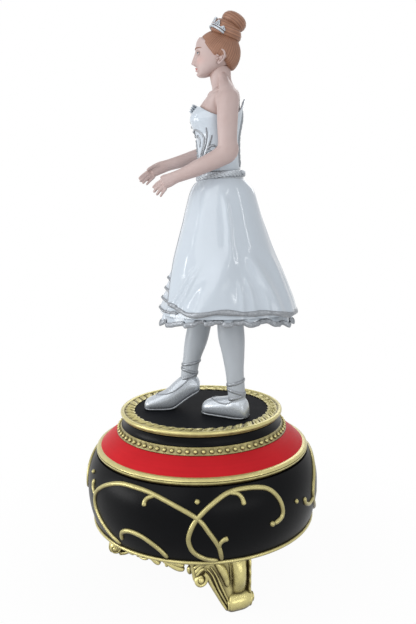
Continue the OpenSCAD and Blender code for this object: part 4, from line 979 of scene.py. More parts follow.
class JEWELBOX_OT_lid(bpy.types.Operator):
    """Red shoulder, its moulding, the beaded ring and the black neck"""

    bl_idname = "jewelbox.lid"
    bl_label = "Lid"

    def execute(self, context):
        sizes = context.scene.jewel_box_sizes
        spigot_r, inner_r = REBATE_R - 2.9, REBATE_R - 4.6
        seat_r = SHOULDER_R - 4
        t = np.linspace(0, 1, 24)
        rise = SHOULDER_Z - LID_LIP_Z
        slope_z = LID_LIP_Z + rise * (t + 0.06 * np.sin(np.pi * t))
        slope = np.stack([REBATE_R + (SHOULDER_R - REBATE_R) * t, slope_z], -1)
        hole_r, liner_r = seat_r - 2.4, inner_r - 2.4
        shell = np.vstack(
            [
                [[inner_r, SEAM_Z - 2.2], [spigot_r, SEAM_Z - 2.2], [spigot_r, SEAM_Z], [REBATE_R, SEAM_Z]],
                slope,
                [[hole_r, SHOULDER_Z], [hole_r, SHOULDER_Z - 2], [SHOULDER_R - 1.2, SHOULDER_Z - 2.2]],
                [[liner_r, SEAM_Z + 2.6], [liner_r, SEAM_Z + 1.8], [inner_r, SEAM_Z + 1.8]],
            ]
        )
        Form().turned(shell).piece("LidShell", "red", "lid", "red_lacquer", ["lid_shell"])
        moulding = seam_moulding(LIP_R, low("lid_moulding")[2], LID_LIP_Z)
        Form().turned(moulding).piece("LidMoulding", "gold", "lid", "gold_paint", ["lid_moulding"])
        top_r = NECK_R + 0.4
        middle_r, middle_z = (SHOULDER_R + top_r) / 2, (SHOULDER_Z + BAND_Z) / 2
        band = np.vstack(
            [
                [[seat_r, SHOULDER_Z], [SHOULDER_R - 0.4, SHOULDER_Z]],
                arc_profile(SHOULDER_R - 0.4, SHOULDER_Z + 0.4, 0.4, -90, 20, 6),
                [[middle_r - 0.15, middle_z]],
                arc_profile(top_r - 0.3, BAND_Z - 0.3, 0.3, 20, 90, 6),
                [[seat_r, BAND_Z]],
            ]
        )
        sides = 288
        form = Form().turned(band, sides)
        form.mark("wash", np.full((len(band) + 1, sides), 0.8))
        for k in range(sizes.bead_count):
            a = 2 * math.pi * k / sizes.bead_count
            out = np.array([math.cos(a), math.sin(a), 0.45])
            centre = np.array([middle_r * math.cos(a), middle_r * math.sin(a), middle_z]) + 0.1 * unit(out)
            form.ball(centre, (sizes.bead_radius,) * 3, out, 14)
        form.piece("BeadRing", "gold", "lid", "gold_paint", ["bead_ring"])
        a = np.radians(np.linspace(0, 90, 12))
        cove = np.stack([NECK_R - 1.4 * np.sin(a), BAND_Z + (NECK_Z - BAND_Z) * (1 - np.cos(a))], -1)
        bore_r, step_r = 5.5, seat_r - 2.2
        neck = np.vstack(
            [
                [[bore_r, BAND_Z], [step_r, BAND_Z], [step_r, BAND_Z - 2], [seat_r, BAND_Z - 2]],
                [[seat_r, BAND_Z]],
                cove,
                [[bore_r, NECK_Z]],
            ]
        )
        Form().turned(neck).piece("LidNeck", "black", "lid", "black_lacquer", ["lid_neck"])
        return {"FINISHED"}


class JEWELBOX_OT_platform(bpy.types.Operator):
    """Carved rim of the turning platform"""

    bl_idname = "jewelbox.platform"
    bl_label = "Platform"

    def execute(self, context):
        sizes = context.scene.jewel_box_sizes
        bead_r = 1.25
        count = sizes.leaf_count
        columns = count * 20
        a = turn(columns)
        top = RIM_TOP - 0.85
        inner, outer = DISC_R - 0.4, RIM_R - 2 * bead_r
        profile = np.vstack(
            [
                [[DISC_R + 0.02, PLATFORM_Z], [RIM_R - 2.4, PLATFORM_Z]],
                [[RIM_R - 1.5, PLATFORM_Z + 0.1], [RIM_R - 0.9, PLATFORM_Z + 0.6]],
                [[RIM_R - 0.75, PLATFORM_Z + 1.1]],
                arc_profile(RIM_R - bead_r, RIM_TOP - bead_r - 0.1, bead_r, -60, 150, 16),
                np.stack([np.linspace(outer - 0.05, inner, 26), np.full(26, top)], -1),
                [[inner - 0.1, STAGE_Z - 0.05], [DISC_R + 0.02, STAGE_Z - 0.1]],
            ]
        )
        r, z = profile[:, 0:1], profile[:, 1:2]
        carved = (r < outer) & (z > STAGE_Z + 0.1)
        share = np.clip((r - inner) / (outer - inner), 0, 1)
        phase = (a * count / (2 * np.pi)) % 1
        wander = 0.12 * np.sin(5 * a) + 0.1 * np.sin(13 * a + 1)
        lean = (phase + 0.7 * share + wander) % 1
        lobe = np.sin(np.pi * lean) ** 0.7 * np.sin(np.pi * np.clip(share * 0.85 + 0.12, 0, 1)) ** 0.5
        vein = 0.22 * np.sin(6 * np.pi * lean) * np.sin(np.pi * share)
        curl = 0.5 * np.exp(-(((lean - 0.35) / 0.12) ** 2) - ((share - 0.6) / 0.18) ** 2)
        bud = 0.5 * np.exp(-(((lean - 0.8) / 0.1) ** 2) - ((share - 0.28) / 0.13) ** 2)
        relief = sizes.leaf_height * (lobe + vein + curl + bud - 0.45)
        tip = np.where(carved, 0.5 * (1 - share) ** 4 * np.sin(np.pi * (phase + wander)) ** 2, 0)
        radius = r - tip
        height = z + np.where(carved, relief, 0)
        grid = oval(a, height, radius, radius)
        form = Form().surface(np.concatenate([grid, grid[:1]]), caps=False)
        wash = np.where(carved, np.clip(0.85 - 0.8 * (lobe + vein + curl + bud), 0, 1), 0)
        form.mark("wash", np.concatenate([wash, wash[:1]]))
        form.piece("PlatformRim", "gold", "turntable", "gold_paint", ["turntable_rim"])
        return {"FINISHED"}


# Dancer: everything stands on the platform and faces -Y


def on_stage(points):
    """Points raised from the figure's own zero onto the platform."""
    return np.asarray(points, float) + np.array([0, 0, STAGE_Z])


def on_axis(*stations):
    """Stations [height, y, half width, half depth] with the figure's x put in after the height."""
    return [(z, FIGURE_X, *rest) for z, *rest in stations]


# Heights of the dress above the platform
WAIST_Z, HEM_Z, SEAT_Z, CEILING_Z = 136.0, 58.0, 66.0, 100.0
HEM_LIFT = 4.0
SKIRT_Y = 16.6
SKIRT = on_axis(
    (136, 15.2, 15.4, 13.8), (129.8, 15.4, 18, 18.2), (120.4, 15.4, 20.3, 21), (110.3, 15.4, 22.3, 23.6),
    (100.1, 15.4, 24.6, 26.8), (90.8, 15.6, 27, 30.1), (82.2, 16.2, 29.2, 33.1), (72, 16.6, 31.6, 36.5),
    (66, 16.6, 33, 38.6), (58, 16.6, 34.4, 40.6), (50, 16.6, 35.8, 42.6),
)
FRONT = -np.pi / 2
# Ridges of the gathered cloth: [angle in degrees, height] from top to bottom, width in degrees and rise in mm
FOLDS = [
    ([(3, 131), (8, 120), (10, 108), (9, 92)], 5, 0.9),
    ([(10, 100), (3, 88), (-9, 75), (-22, 58)], 12, 2.1),
    ([(-26, 128), (-32, 112), (-34, 96)], 13, 0.9),
    ([(-24, 92), (-38, 79), (-52, 63)], 2.6, 0.8),
    ([(-20, 92), (-31, 79), (-44, 61)], 2.6, 0.8),
    ([(-12, 84), (-19, 72), (-23, 57)], 6, 0.9),
    ([(28, 98), (34, 86), (42, 73), (48, 57)], 7, 2.1),
    ([(20, 86), (23, 73), (24, 57)], 3, 0.8),
    ([(13, 84), (15, 72), (14, 57)], 2.6, 0.7),
    ([(33, 78), (36, 68), (35, 57)], 2.6, 0.8),
    ([(60, 100), (62, 84), (64, 57)], 8, 1.4),
    ([(77, 92), (78, 76), (78, 57)], 6, 0.8),
    ([(90, 118), (90, 92), (90, 57)], 6, 0.3),
]


def folds(angle, z):
    """Rise of the gathered ridges; the far side mirrors the near one."""
    total = 0
    for mirror in (False, True):
        for course, width, rise in FOLDS:
            p = np.array(course[::-1], float)
            middle = np.interp(z, p[:, 1], p[:, 0])
            if mirror:
                middle = 180 - middle
            off = (np.degrees(angle) - middle + 180) % 360 - 180
            run = ease(z, p[-1, 1], p[-1, 1] - 14) * ease(z, p[0, 1] - 6, p[0, 1] + 6)
            total = total + rise * run * bell(off, 0, width)
    return total


def skirt_point(angle, z, proud=0.0):
    """Points of the skirt at angles and heights; the two may be grids of one shape."""
    x, y, wide, deep = columns_at(SKIRT, 6, z)
    depth = bpy.context.scene.jewel_box_sizes.skirt_folds
    drop = np.clip((WAIST_Z - z) / (WAIST_Z - HEM_Z), 0, 1.2)
    wave = 0.6 * np.cos(7 * angle + 0.35) + 0.4 * np.cos(11 * angle - 0.87)
    fold = 1 + depth * drop**1.5 * wave
    rise = proud + folds(angle, z) - 0.5
    return oval(angle, z, wide * fold + rise, deep * fold + rise, x, y)


def from_front(angle):
    """Angle from the middle of the front, without its sign."""
    return np.abs(wrapped(angle - FRONT))


def opening_half(z):
    """Half angle of the front opening at a height."""
    return np.radians(3 + 31 * np.clip((118 - z) / 52, 0, 1.2))


# Height and lift of the opening's lower corners
CORNER_Z, CORNER_LIFT = 66.0, 6.0


def hem_height(angle):
    """The overskirt's hem: it rises at the sides and at the corners of the opening, and ripples."""
    half = opening_half(CORNER_Z)
    corner = CORNER_LIFT * (1 - ease(from_front(angle), half, half + 0.42))
    return HEM_Z + HEM_LIFT * np.cos(angle) ** 2 + 0.5 * np.cos(9 * angle + 0.6) + corner


def over_angle(share, z):
    """Angles round the overskirt, from one edge of the opening (0) to the other (1)."""
    return FRONT + opening_half(z) + share * (2 * np.pi - 2 * opening_half(z))


BODICE = on_axis(
    (140.4, 13.9, 14.8, 12.6), (150, 13.6, 15, 12.4), (160, 13.5, 16.2, 12.7), (166, 13.2, 17.1, 14),
    (170, 13.3, 17.6, 14.7), (171.4, 13.4, 17.6, 14.8),
)
# Leaf sprays on the bodice, the same on both sides, as [angle from the front, height]
SPRAYS = [
    [(13, 161.6), (24, 164.4), (42, 163.4), (54, 159.6), (52, 155.2), (43, 151.6), (36, 148), (33, 144)],
    [(22, 160.4), (32, 161), (38, 158), (36, 154.4)],
    [(11, 159), (15, 154.4), (22, 150), (30, 145.6)],
    [(66, 165), (63, 160), (58, 155.6), (50, 151.8), (42, 146.6)],
    [(78, 160.6), (70, 156), (64, 153.6), (56, 149.6)],
    [(90, 153.2), (80, 154.6), (70, 154), (61, 152), (54, 148)],
    [(76, 151.4), (66, 152), (57, 150.4), (48, 146)],
    [(7, 149), (10, 146), (16, 143.4)],
    [(164, 143), (166, 156), (168, 168), (171, 178)],
    [(171, 143), (172, 158), (174, 172), (177, 181)],
]


def bust(angle, z):
    """Swell of the bust on both sides of the middle."""
    off = np.degrees(wrapped(angle - FRONT))
    return (bell(off, 32, 24) + bell(off, -32, 24)) * bell(z, 171, 6) * 2.4


def bodice_point(angle, z, proud=0.0):
    """Points of the bodice at angles and heights."""
    x, y, wide, deep = columns_at(BODICE, 8, z)
    r = proud + bust(angle, z)
    return oval(angle, z, wide + r, deep + r, x, y)


class JEWELBOX_OT_dress(bpy.types.Operator):
    """Skirt, petticoat, sash and bodice with their silver trim"""

    bl_idname = "jewelbox.dress"
    bl_label = "Dress"

    def execute(self, context):
        self.skirt()
        self.petticoat()
        self.sash()
        self.bodice()
        self.bodice_trim()
        self.bow()
        return {"FINISHED"}

    def skirt(self):
        """The closed underskirt, the overskirt that opens at the front, and the silver trim."""
        a = turn(360)[None]
        z = np.linspace(WAIST_Z, HEM_Z + 1, 60)[:, None]
        outer = skirt_point(a + 0 * z, z + 0 * a, -0.9)
        inner_z = np.linspace(HEM_Z + 1, SEAT_Z, 5)[:, None]
        inner = skirt_point(a + 0 * inner_z, inner_z + 0 * a, -2.4)
        hollow_r, hollow_y = 22.4, 16
        hollow = oval(a, SEAT_Z, hollow_r, hollow_r, FIGURE_X, hollow_y)
        grid = np.concatenate([outer, inner, hollow, hollow + [0, 0, CEILING_Z - SEAT_Z]])
        form = Form().surface(on_stage(grid))
        form.piece("Underskirt", "enamel", "turntable", "white_enamel", ["skirt"], 50)
        share = np.linspace(0, 1, 520)
        hem = hem_height(over_angle(share, CORNER_Z))
        z = WAIST_Z + (hem[:, None] - WAIST_Z) * np.linspace(0, 1, 130)
        angle = over_angle(share[:, None], z)
        outer, inner = skirt_point(angle, z, 0.7), skirt_point(angle, z, -0.3)
        form = Form().surface(on_stage(np.concatenate([outer, inner[:, ::-1]], 1)))
        form.piece("Overskirt", "enamel", "turntable", "white_enamel", crease=50)
        trim = Form()
        narrowing = 1 - ease(np.abs(share - 0.5), 0.5, 0.44)
        wide = 1.4 + 0.2 * np.sin(23 * share * np.pi) - 0.45 * narrowing
        path = skirt_point(over_angle(share, hem + 0.6), hem + 0.6, 0.55)
        trim.surface(on_stage(tube(path, 0.7, wide, (0, 0, 1), 12)))
        for end in (0, 1):
            edge_z = np.linspace(WAIST_Z - 1, hem[-end] + 0.3, 110)
            edge_a = over_angle(float(end), edge_z)
            path = skirt_point(edge_a, edge_z, 0.45)
            trim.surface(on_stage(tube(path, 0.5, 0.5, outward(edge_a), 8)))
        trim.piece("SkirtTrim", "silver", "turntable", "silver_paint", crease=50)
        self.front_frills()

    def front_frills(self):
        """Rows of frills with silver edges across the front opening."""
        frills, edges = Form(), Form()
        for level, reach in ((79, 0.9), (73, 1.0), (67.4, 1.1), (61.6, 1.25)):
            spread = opening_half(level) * reach + 0.03
            a = np.linspace(FRONT - spread, FRONT + spread, 140)
            ripple = np.sin((a - FRONT) * 36)
            top = skirt_point(a, level + 4.6 + 0 * a, -0.7)
            middle = skirt_point(a, level + 2 + 0 * a, -0.4 + 0.25 * ripple)
            foot = skirt_point(a, level - 0.6 + 0.3 * ripple, -0.1 + 0.5 * ripple)
            under = skirt_point(a, level - 0.2 + 0.3 * ripple, -0.8 + 0.4 * ripple)
            frills.surface(on_stage(np.stack([top, middle, foot, under], 1)))
            edges.surface(on_stage(tube(foot + [0, 0, 0.5], 0.4, 0.7, (0, 0, 1), 8)))
        frills.piece("FrontFrills", "enamel", "turntable", "white_enamel", crease=60)
        edges.piece("FrillEdges", "silver", "turntable", "silver_paint", crease=60)

    def petticoat(self):
        """The pleated layer under the hem, with its silver edge."""
        columns, rows = 540, 26
        bottom_z, pleats = 52.4, 18
        a = turn(columns)[None]
        share = np.linspace(0, 1, rows)[:, None]

        def frill(share, inset):
            """Points of the layer at shares of its drop."""
            drift = 0.9 * np.sin(5 * a + 1) + 0.6 * np.sin(3 * a)
            box = np.tanh(2.4 * np.sin(pleats * a + drift)) + 0.25 * np.sin(2 * pleats * a + drift)
            flare = share**1.5
            r = flare * (0.95 * box + 0.4 * np.sin(7 * a + 0.4)) - inset + 2.0 * flare
            z = SEAT_Z + (bottom_z - SEAT_Z) * share - flare * (0.6 * box + 0.5 * np.sin(7 * a + 0.4))
            lift = 0.9 * HEM_LIFT * np.cos(a) ** 2 * flare
            return oval(a, z + lift, 30.5 + r, 36.4 + r, FIGURE_X, SKIRT_Y)

        outer, inner = frill(share, 0), frill(share[::-1], 1.2)
        form = Form().surface(on_stage(np.concatenate([outer, inner, outer[:1]])), caps=False)
        form.piece("Petticoat", "enamel", "turntable", "white_enamel", ["petticoat"], 60)
        edge = frill(np.ones((1, 1)), -0.1)[0]
        edge = np.vstack([edge, edge[:2]])
        trim = Form().surface(on_stage(tube(edge + [0, 0, 0.9], 0.45, 1.35, (0, 0, 1), 8, 0)), caps=False)
        trim.piece("PetticoatEdge", "silver", "turntable", "silver_paint", crease=60)

    def sash(self):
        """The embossed band round the waist, with its knot at the back."""
        a = turn(360)
        lean = 1.2 * np.sin(a)
        band_y = 14.7
        rows = []
        for s in np.radians(np.linspace(0, 360, 22, endpoint=False)):
            emboss = 0.22 * np.sin(40 * a + 6 * math.sin(s)) * max(0, math.cos(s)) ** 0.5
            r = 0.8 * math.copysign(abs(math.cos(s)) ** 0.6, math.cos(s)) + emboss
            z = WAIST_Z + 2.1 + 1.75 * math.copysign(abs(math.sin(s)) ** 0.8, math.sin(s)) + lean
            rows.append(oval(a, z, 15.1 + r, 13.6 + r, FIGURE_X, band_y))
        rows.append(rows[0])
        form = Form().surface(on_stage(np.stack(rows)), caps=False)
        knot = np.radians(62)
        centre = oval(knot, WAIST_Z + 3.4, 15.6, 14.2, FIGURE_X, band_y)
        form.ball(on_stage(centre), (1.5, 1.9, 1.8), (math.cos(knot), math.sin(knot), 0.2))
        core = on_axis((136.2, 14.8, 15, 13.4), (138, 14.6, 15, 13.2), (140, 14.2, 14.8, 12.8))
        form.surface(on_stage(level_rings(core, 2, 64)))
        form.piece("Sash", "slipper", "turntable", "silver_paint", ["sash"], 50)

    def bodice(self):
        """The strapless top, with a raised edge that is rolled inwards."""
        a = turn(240)
        front, back = np.maximum(0, -np.sin(a)), np.maximum(0, np.sin(a))
        z = np.linspace(BODICE[0][0], BODICE[-1][0], 44)[:, None]
        rows = bodice_point(a + 0 * z, z + 0 * a)
        edge_z = 171.6 + 8 * front**1.3 - 1.6 * front**16 + 11.4 * back**8
        edge_deep = 14.6 + 1.6 * back**6 - 1.9 * front**2
        lip = oval(a, edge_z, 17.6, edge_deep, FIGURE_X, 14)
        last, out = rows[-1], outward(a)
        steps = [last + (lip - last) * (t**1.6, t**1.6, t) for t in np.linspace(0.1, 1, 10)]
        inside = [lip - 0.5 * out + [0, 0, 0.25], lip - 1.1 * out, lip - 1.2 * out - [0, 0, 3]]
        floor = oval(a, 167.4, 16.2, 13.6, FIGURE_X, 13.7)
        form = Form().surface(on_stage(np.concatenate([rows, steps, inside, [floor]])))
        form.piece("Bodice", "enamel", "turntable", "white_enamel", ["bodice"], 50)

    def bodice_trim(self):
        """Leaf sprays, the lacing at the back and the buttons down the front."""
        trim = Form()
        for side in (-1, 1):
            for spray in SPRAYS:
                course = curve_through(spray, 8)
                angle = FRONT + side * np.radians(course[:, 0])
                run = np.linspace(0, 1, len(course))
                wide = 0.22 + 0.5 * np.sin(np.pi * np.clip(run * 0.9 + 0.06, 0, 1))
                p = bodice_point(angle, course[:, 1], 0.1)
                trim.surface(on_stage(tube(p, wide, 0.42, outward(angle), 8)))
        lace_a = np.radians(np.linspace(82, 98, 12))
        for k in range(9):
            level = 146 + 3.4 * k
            for lean in (-1.5, 1.5):
                p = bodice_point(lace_a, level + lean * np.linspace(-1, 1, 12), 0.25)
                trim.surface(on_stage(tube(p, 0.4, 0.35, outward(lace_a), 8)))
        for k in range(11):
            p = bodice_point(np.array([FRONT]), np.array([145 + 2.8 * k]), -0.2)[0]
            trim.ball(on_stage(p), (0.9, 1.3, 0.8), (0, -1, 0.1), 12)
        trim.piece("BodiceTrim", "silver", "turntable", "silver_paint", crease=50)

    def bow(self):
        """The pleated bow at the bust."""
        form = Form()
        knot = np.array([FIGURE_X, 0.3, 176.9])
        stack = np.array([0, 0.42, 0.9])
        for side in (-1, 1):
            for k in range(4):
                fan = k - 1.5
                spread = stack * 1.35 * fan
                loop = [
                    knot + spread * 0.5,
                    knot + spread * 0.9 + [side * 2.6, -0.7, 0.2],
                    knot + spread + [side * 5.6, -0.5, 0],
                    knot + spread + [side * 6.8, 0.1, -0.2],
                ]
                path = curve_through(loop, 6)
                wide = np.linspace(1.2, 2.5, len(path)) * (1 - 0.06 * abs(fan))
                form.surface(on_stage(tube(path, wide, 0.52, stack, 14, 2)))
        form.ball(on_stage(knot + [0, -1.6, 0]), (1.5, 2.2, 1.2), (0, -1, 0.3))
        form.piece("BodiceBow", "enamel", "turntable", "white_enamel", crease=50)


# Skin


# Arms as [x, y, height, half width, half depth]
LEFT_ARM = [
    (26, 20.6, 184.6, 2.2, 2.6), (26.8, 20.6, 183, 4.4, 5), (28.2, 20.4, 179, 5.6, 6.2),
    (29.6, 20, 172, 5.4, 6), (30.2, 19.7, 163, 5, 5.6), (30.2, 19.7, 156, 4.9, 5.4),
    (30.1, 19.4, 150.6, 5.1, 6.2), (29.8, 14.6, 147, 4.9, 5.4), (29.4, 9, 144.4, 4.6, 4.9),
    (28.8, 2, 141.4, 4.2, 4.5), (27.8, -5, 138.6, 3.2, 3.7), (27, -10, 136.9, 2.6, 3.5),
    (26.4, -14, 135.2, 2.1, 3.9), (26, -17, 133.6, 1.8, 3.4),
]
RIGHT_ARM = [
    (-12, 20.2, 184.6, 2.2, 2.6), (-12.8, 20, 183, 4.4, 5), (-14.2, 19.4, 179, 5.6, 6.2),
    (-15.4, 17.2, 172, 5.3, 5.8), (-15.6, 14.4, 164, 4.9, 5.3), (-15.5, 11.6, 157.6, 4.9, 5.5),
    (-15, 6, 154, 4.7, 5), (-14.4, -2, 151.6, 4.3, 4.5), (-13.4, -10, 149.2, 3.6, 4),
    (-12.5, -18, 147, 2.8, 3.6), (-11.9, -23.6, 145.2, 2.3, 3.9), (-11.2, -28.6, 142.8, 1.9, 3.6),
]
# Four fingers and the thumb as [x, y, height], and their sizes
FINGER_R = (1.0, 1.05, 1.0, 0.88, 1.15)
LEFT_FINGERS = [
    [(25.8, -16, 136.4), (25, -20.4, 134), (24.8, -23.4, 131.2)],
    [(26, -16.2, 134.5), (25.5, -20.2, 131.6), (25.5, -22.8, 128.6)],
    [(26.2, -15.8, 132.7), (26.2, -19, 129.7), (26.4, -21, 126.9)],
    [(26.4, -15.2, 131), (26.8, -17.4, 128.2), (27, -18.8, 126)],
    [(25.8, -12, 137.4), (24.2, -15.8, 138), (23.2, -19, 136.8)],
]
RIGHT_FINGERS = [
    [(-11.2, -27.6, 145), (-10.6, -33, 141.8), (-10.4, -36.8, 138.6)],
    [(-11.2, -27.8, 143.4), (-10.8, -32.8, 140), (-10.8, -36.2, 136.8)],
    [(-11.4, -27.4, 141.6), (-11.2, -31.8, 138.4), (-11.4, -34.6, 135.6)],
    [(-11.6, -26.6, 140.2), (-11.8, -30, 137.2), (-12, -32.4, 134.8)],
    [(-11, -22.6, 146.4), (-9.4, -27.4, 146), (-8.6, -31.4, 143.6)],
]
CHEST = on_axis(
    (167.4, 13.7, 15.7, 13.1), (172, 13.8, 16.1, 13.2), (176, 14.2, 16.2, 12.7), (180, 15.4, 17, 11.3),
    (184, 17.2, 18.6, 9.8), (187, 18.2, 15, 8.2), (189.4, 17.6, 9.4, 6.8), (193, 16.4, 6.4, 6.3),
    (196.4, 15.8, 6, 6.2), (202, 15.7, 6, 6.4),
)
# From the neck to the shoulder as [distance from the middle, y, height, radius]
SHOULDER_SLOPE = [
    (4, 17, 197, 2.6), (6, 17.6, 193.6, 3.4), (10, 18.6, 189.4, 4.2), (14.5, 19.4, 186, 4.9),
    (18.8, 20, 182.2, 5.7), (21.6, 20.3, 176, 5.9),
]
COLLAR_BONE = [(2.4, 8.4, 184.4), (9, 10.4, 185.8), (17, 15.4, 186)]
SHOULDER_BALL, SHOULDER_BALL_R = (18, 19.8, 179.6), 6.6
CHIN_Z = 196.6
HEAD = on_axis(
    (196.6, 5.6, 2.6, 2.2), (198, 7.4, 4.8, 4.8), (201, 10.6, 7.4, 8.6), (205, 13, 8.9, 11.4),
    (209.8, 14.2, 9.6, 12.8), (214.4, 14.5, 9.9, 13), (218, 14.7, 9.3, 12.2), (221, 15, 7.2, 9.6),
    (222.8, 15.2, 3.6, 4.8),
)
# The eyes' height above the chin
EYE_UP = 13.0
EAR_Y, EAR_Z = 16.3, 206.1


def limb(stations, steps, sides):
    """Rings round a limb from stations [x, y, height, half width, half depth]."""
    s = curve_through(stations, steps)
    path = s[:, :3]
    return tube(path, s[:, 3], s[:, 4], np.cross((1, 0, 0), np.gradient(path, axis=0)), sides, 0)


def beside(points, side):
    """Points [distance from the figure's middle, y, height] set on one side of it."""
    return np.asarray(points, float) * (side, 1, 1) + [FIGURE_X, 0, 0]


def melted(form, name, voxel, smoothing):
    """One skin over overlapping forms: remeshed, then smoothed."""
    mesh = bpy.data.meshes.new(name)
    mesh.from_pydata((np.vstack(form.points) * MM).tolist(), [], form.faces)
    rough = bpy.data.objects.new(name, mesh)
    bpy.context.scene.collection.objects.link(rough)
    remesh = rough.modifiers.new("skin", "REMESH")
    remesh.mode, remesh.voxel_size = "VOXEL", voxel * MM
    smooth = rough.modifiers.new("smooth", "SMOOTH")
    smooth.factor, smooth.iterations = 0.5, smoothing
    bpy.context.view_layer.update()
    done = bpy.data.meshes.new_from_object(rough.evaluated_get(bpy.context.evaluated_depsgraph_get()))
    rough.modifiers.clear()
    rough.data = done
    bpy.data.meshes.remove(mesh)
    return rough


class JEWELBOX_OT_skin(bpy.types.Operator):
    """Neck, shoulders, arms and hands in one skin, and the face"""

    bl_idname = "jewelbox.skin"
    bl_label = "Skin"

    def execute(self, context):
        form = Form().surface(on_stage(level_rings(CHEST, 6, 64)))
        for arm, fingers in ((LEFT_ARM, LEFT_FINGERS), (RIGHT_ARM, RIGHT_FINGERS)):
            form.surface(on_stage(limb(arm, 6, 28)))
            for finger, radius in zip(fingers, FINGER_R):
                path = curve_through(finger, 8)
                size = radius * np.linspace(1.08, 0.8, len(path))
                form.surface(on_stage(tube(path, size, size, (1, 0, 0.2), 12, 3)))
        s = curve_through(SHOULDER_SLOPE, 8)
        for side in (-1, 1):
            path = beside(s[:, :3], side)
            form.surface(on_stage(tube(path, s[:, 3], s[:, 3] * 0.85, (0, 1, 0), 20, 3)))
            bone = curve_through(beside(COLLAR_BONE, side), 8)
            form.surface(on_stage(tube(bone, 0.9, 0.8, (0, 0, 1), 10)))
            form.ball(on_stage(beside(SHOULDER_BALL, side)), (SHOULDER_BALL_R,) * 3)
        skin = melted(form, "ShouldersAndArms", 0.32, 12)
        dress(skin, "skin", "turntable", ["left_arm", "right_arm", "head_and_shoulders"], 0)
        self.head()
        self.ears()
        self.eyes()
        return {"FINISHED"}

    def head(self):
        """The head with the relief and the painted places of its face."""
        s = curve_through(HEAD, 22)
        even = turn(220)
        a = even - 0.5 * np.cos(even)
        z = s[:, 0:1] + 0 * a
        x = s[:, 3:4] * np.cos(a)
        y = s[:, 2:3] + s[:, 4:5] * np.sin(a)
        facing = np.clip(-np.sin(a), 0, 1) ** 0.7
        side = np.abs(x)
        up = z - CHIN_Z
        nose_depth = np.interp(up, [6.1, 6.7, 7.8, 10, 15.2], [0, 1.2, 3.0, 2.1, 0])
        nose_width = np.interp(up, [6.1, 7.7, 9.4, 14.8], [1.9, 1.75, 1.15, 0.9])
        push = nose_depth * np.exp(-((x / nose_width) ** 2))
        push += 0.75 * bell(side, 1.75, 0.7) * bell(up, 7.2, 0.8)
        push -= 0.45 * bell(side, 0.95, 0.4) * bell(up, 6.55, 0.35)
        push -= 1.15 * bell(side, 3.9, 2.0) * bell(up, 13.1, 1.7)
        push += 0.45 * bell(side, 3.6, 2.8) * bell(up, 15.7, 1.3)
        push += 0.6 * bell(side, 5.4, 2.4) * bell(up, 8.8, 2.8)
        push += 0.95 * bell(x, 0, 2.5) * bell(up, 5.1, 0.62) + 1.0 * bell(x, 0, 2.0) * bell(up, 3.7, 0.66)
        push -= 0.5 * bell(x, 0, 2.9) * bell(up, 4.4, 0.26) + 0.45 * bell(x, 0, 2.6) * bell(up, 2.6, 0.6)
        push += 0.9 * bell(x, 0, 2.6) * bell(up, 1.25, 1.3)
        y = y - push * facing
        # Under the hair the scalp is drawn in a little
        under = ease((y - 5) * 0.737 + (z - 218.2) * 0.676, 0.0, 1.4)
        x, y = x * (1 - 0.07 * under), 14.8 + (y - 14.8) * (1 - 0.06 * under)
        grid = np.stack([FIGURE_X + x, y, z - 0.6 * under], -1)
        form = Form().surface(on_stage(grid))
        full = np.clip(1 - (x / 2.6) ** 2, 0, 1)
        upper = 4.4 + full**0.8 * (0.95 - 0.25 * bell(x, 0, 0.5))
        lower = 4.4 - 1.2 * full
        lips = ease(upper - up, -0.15, 0.2) * ease(up - lower, -0.15, 0.2) * (full > 0) * (facing > 0.2)
        form.mark("lips", 0.85 * lips)
        form.mark("rose", 0.35 * bell(side, 5.6, 2.2) * bell(up, 8.4, 2.4) * facing)
        form.piece("Face", "skin", "turntable", "skin", crease=0)

    def ears(self):
        """Rim, inner fold, flap, bowl and lobe of each ear."""
        form = Form()
        for side in (-1, 1):
            base = np.array([FIGURE_X + side * 8.9, EAR_Y, EAR_Z])
            rim = curve_through(
                [
                    (-0.7, 0.3), (-1.8, 1.1), (-1.9, 2.7), (-0.7, 3.8), (1.2, 3.7), (2.4, 1.9), (2, -0.8),
                    (0.6, -2.8), (-0.8, -3.7), (-1.6, -2.8),
                ],
                6,
            )
            out = side * (0.5 + 0.9 * ease(rim[:, 0], -1.7, 1.7))
            path = base + np.stack([out, rim[:, 0], rim[:, 1]], -1)
            form.surface(on_stage(tube(path, 0.6, 0.6, (side, 0, 0), 10)))
            inner = curve_through([(-0.6, -2.2), (0.5, -1.5), (1.1, 0.2), (0.9, 1.9), (0, 2.6)], 6)
            path = base + np.stack([side * 0.85 + 0 * inner[:, 0], inner[:, 0], inner[:, 1]], -1)
            form.surface(on_stage(tube(path, 0.45, 0.5, (side, 0, 0), 8)))
            form.ball(on_stage(base + [side * 0.3, -1.7, -0.9]), (0.6, 0.9, 0.6), (side, 0, 0))
            form.ball(on_stage(base + [side * 0.15, 0.1, 0]), (2.1, 3.5, 0.6), (side, -0.3, 0))
            form.ball(on_stage(base + [side * 0.4, -0.8, -2.9]), (1.0, 1.0, 0.6), (side, 0, 0))
        form.piece("Ears", "skin", "turntable", "skin", crease=0)

    def eyes(self):
        """Eyes with their lids and lashes, and the brows."""
        upper_lid, lower_lid = 0.34, -0.46
        white, iris, pupil, brow, lid = Form(), Form(), Form(), Form(), Form()
        for side in (-1, 1):
            look = np.array([side * 0.22, -1, -0.02])
            centre = np.array([FIGURE_X + side * 3.9, 4.35, CHIN_Z + EYE_UP])
            white.ball(on_stage(centre), (1.85, 1.5, 1.75), look, 20)
            iris.ball(on_stage(centre + unit(look) * 1.45), (0.82, 0.82, 0.36), look)
            pupil.ball(on_stage(centre + unit(look) * 1.7), (0.42, 0.42, 0.16), look)
            t = np.linspace(-1, 1, 17)

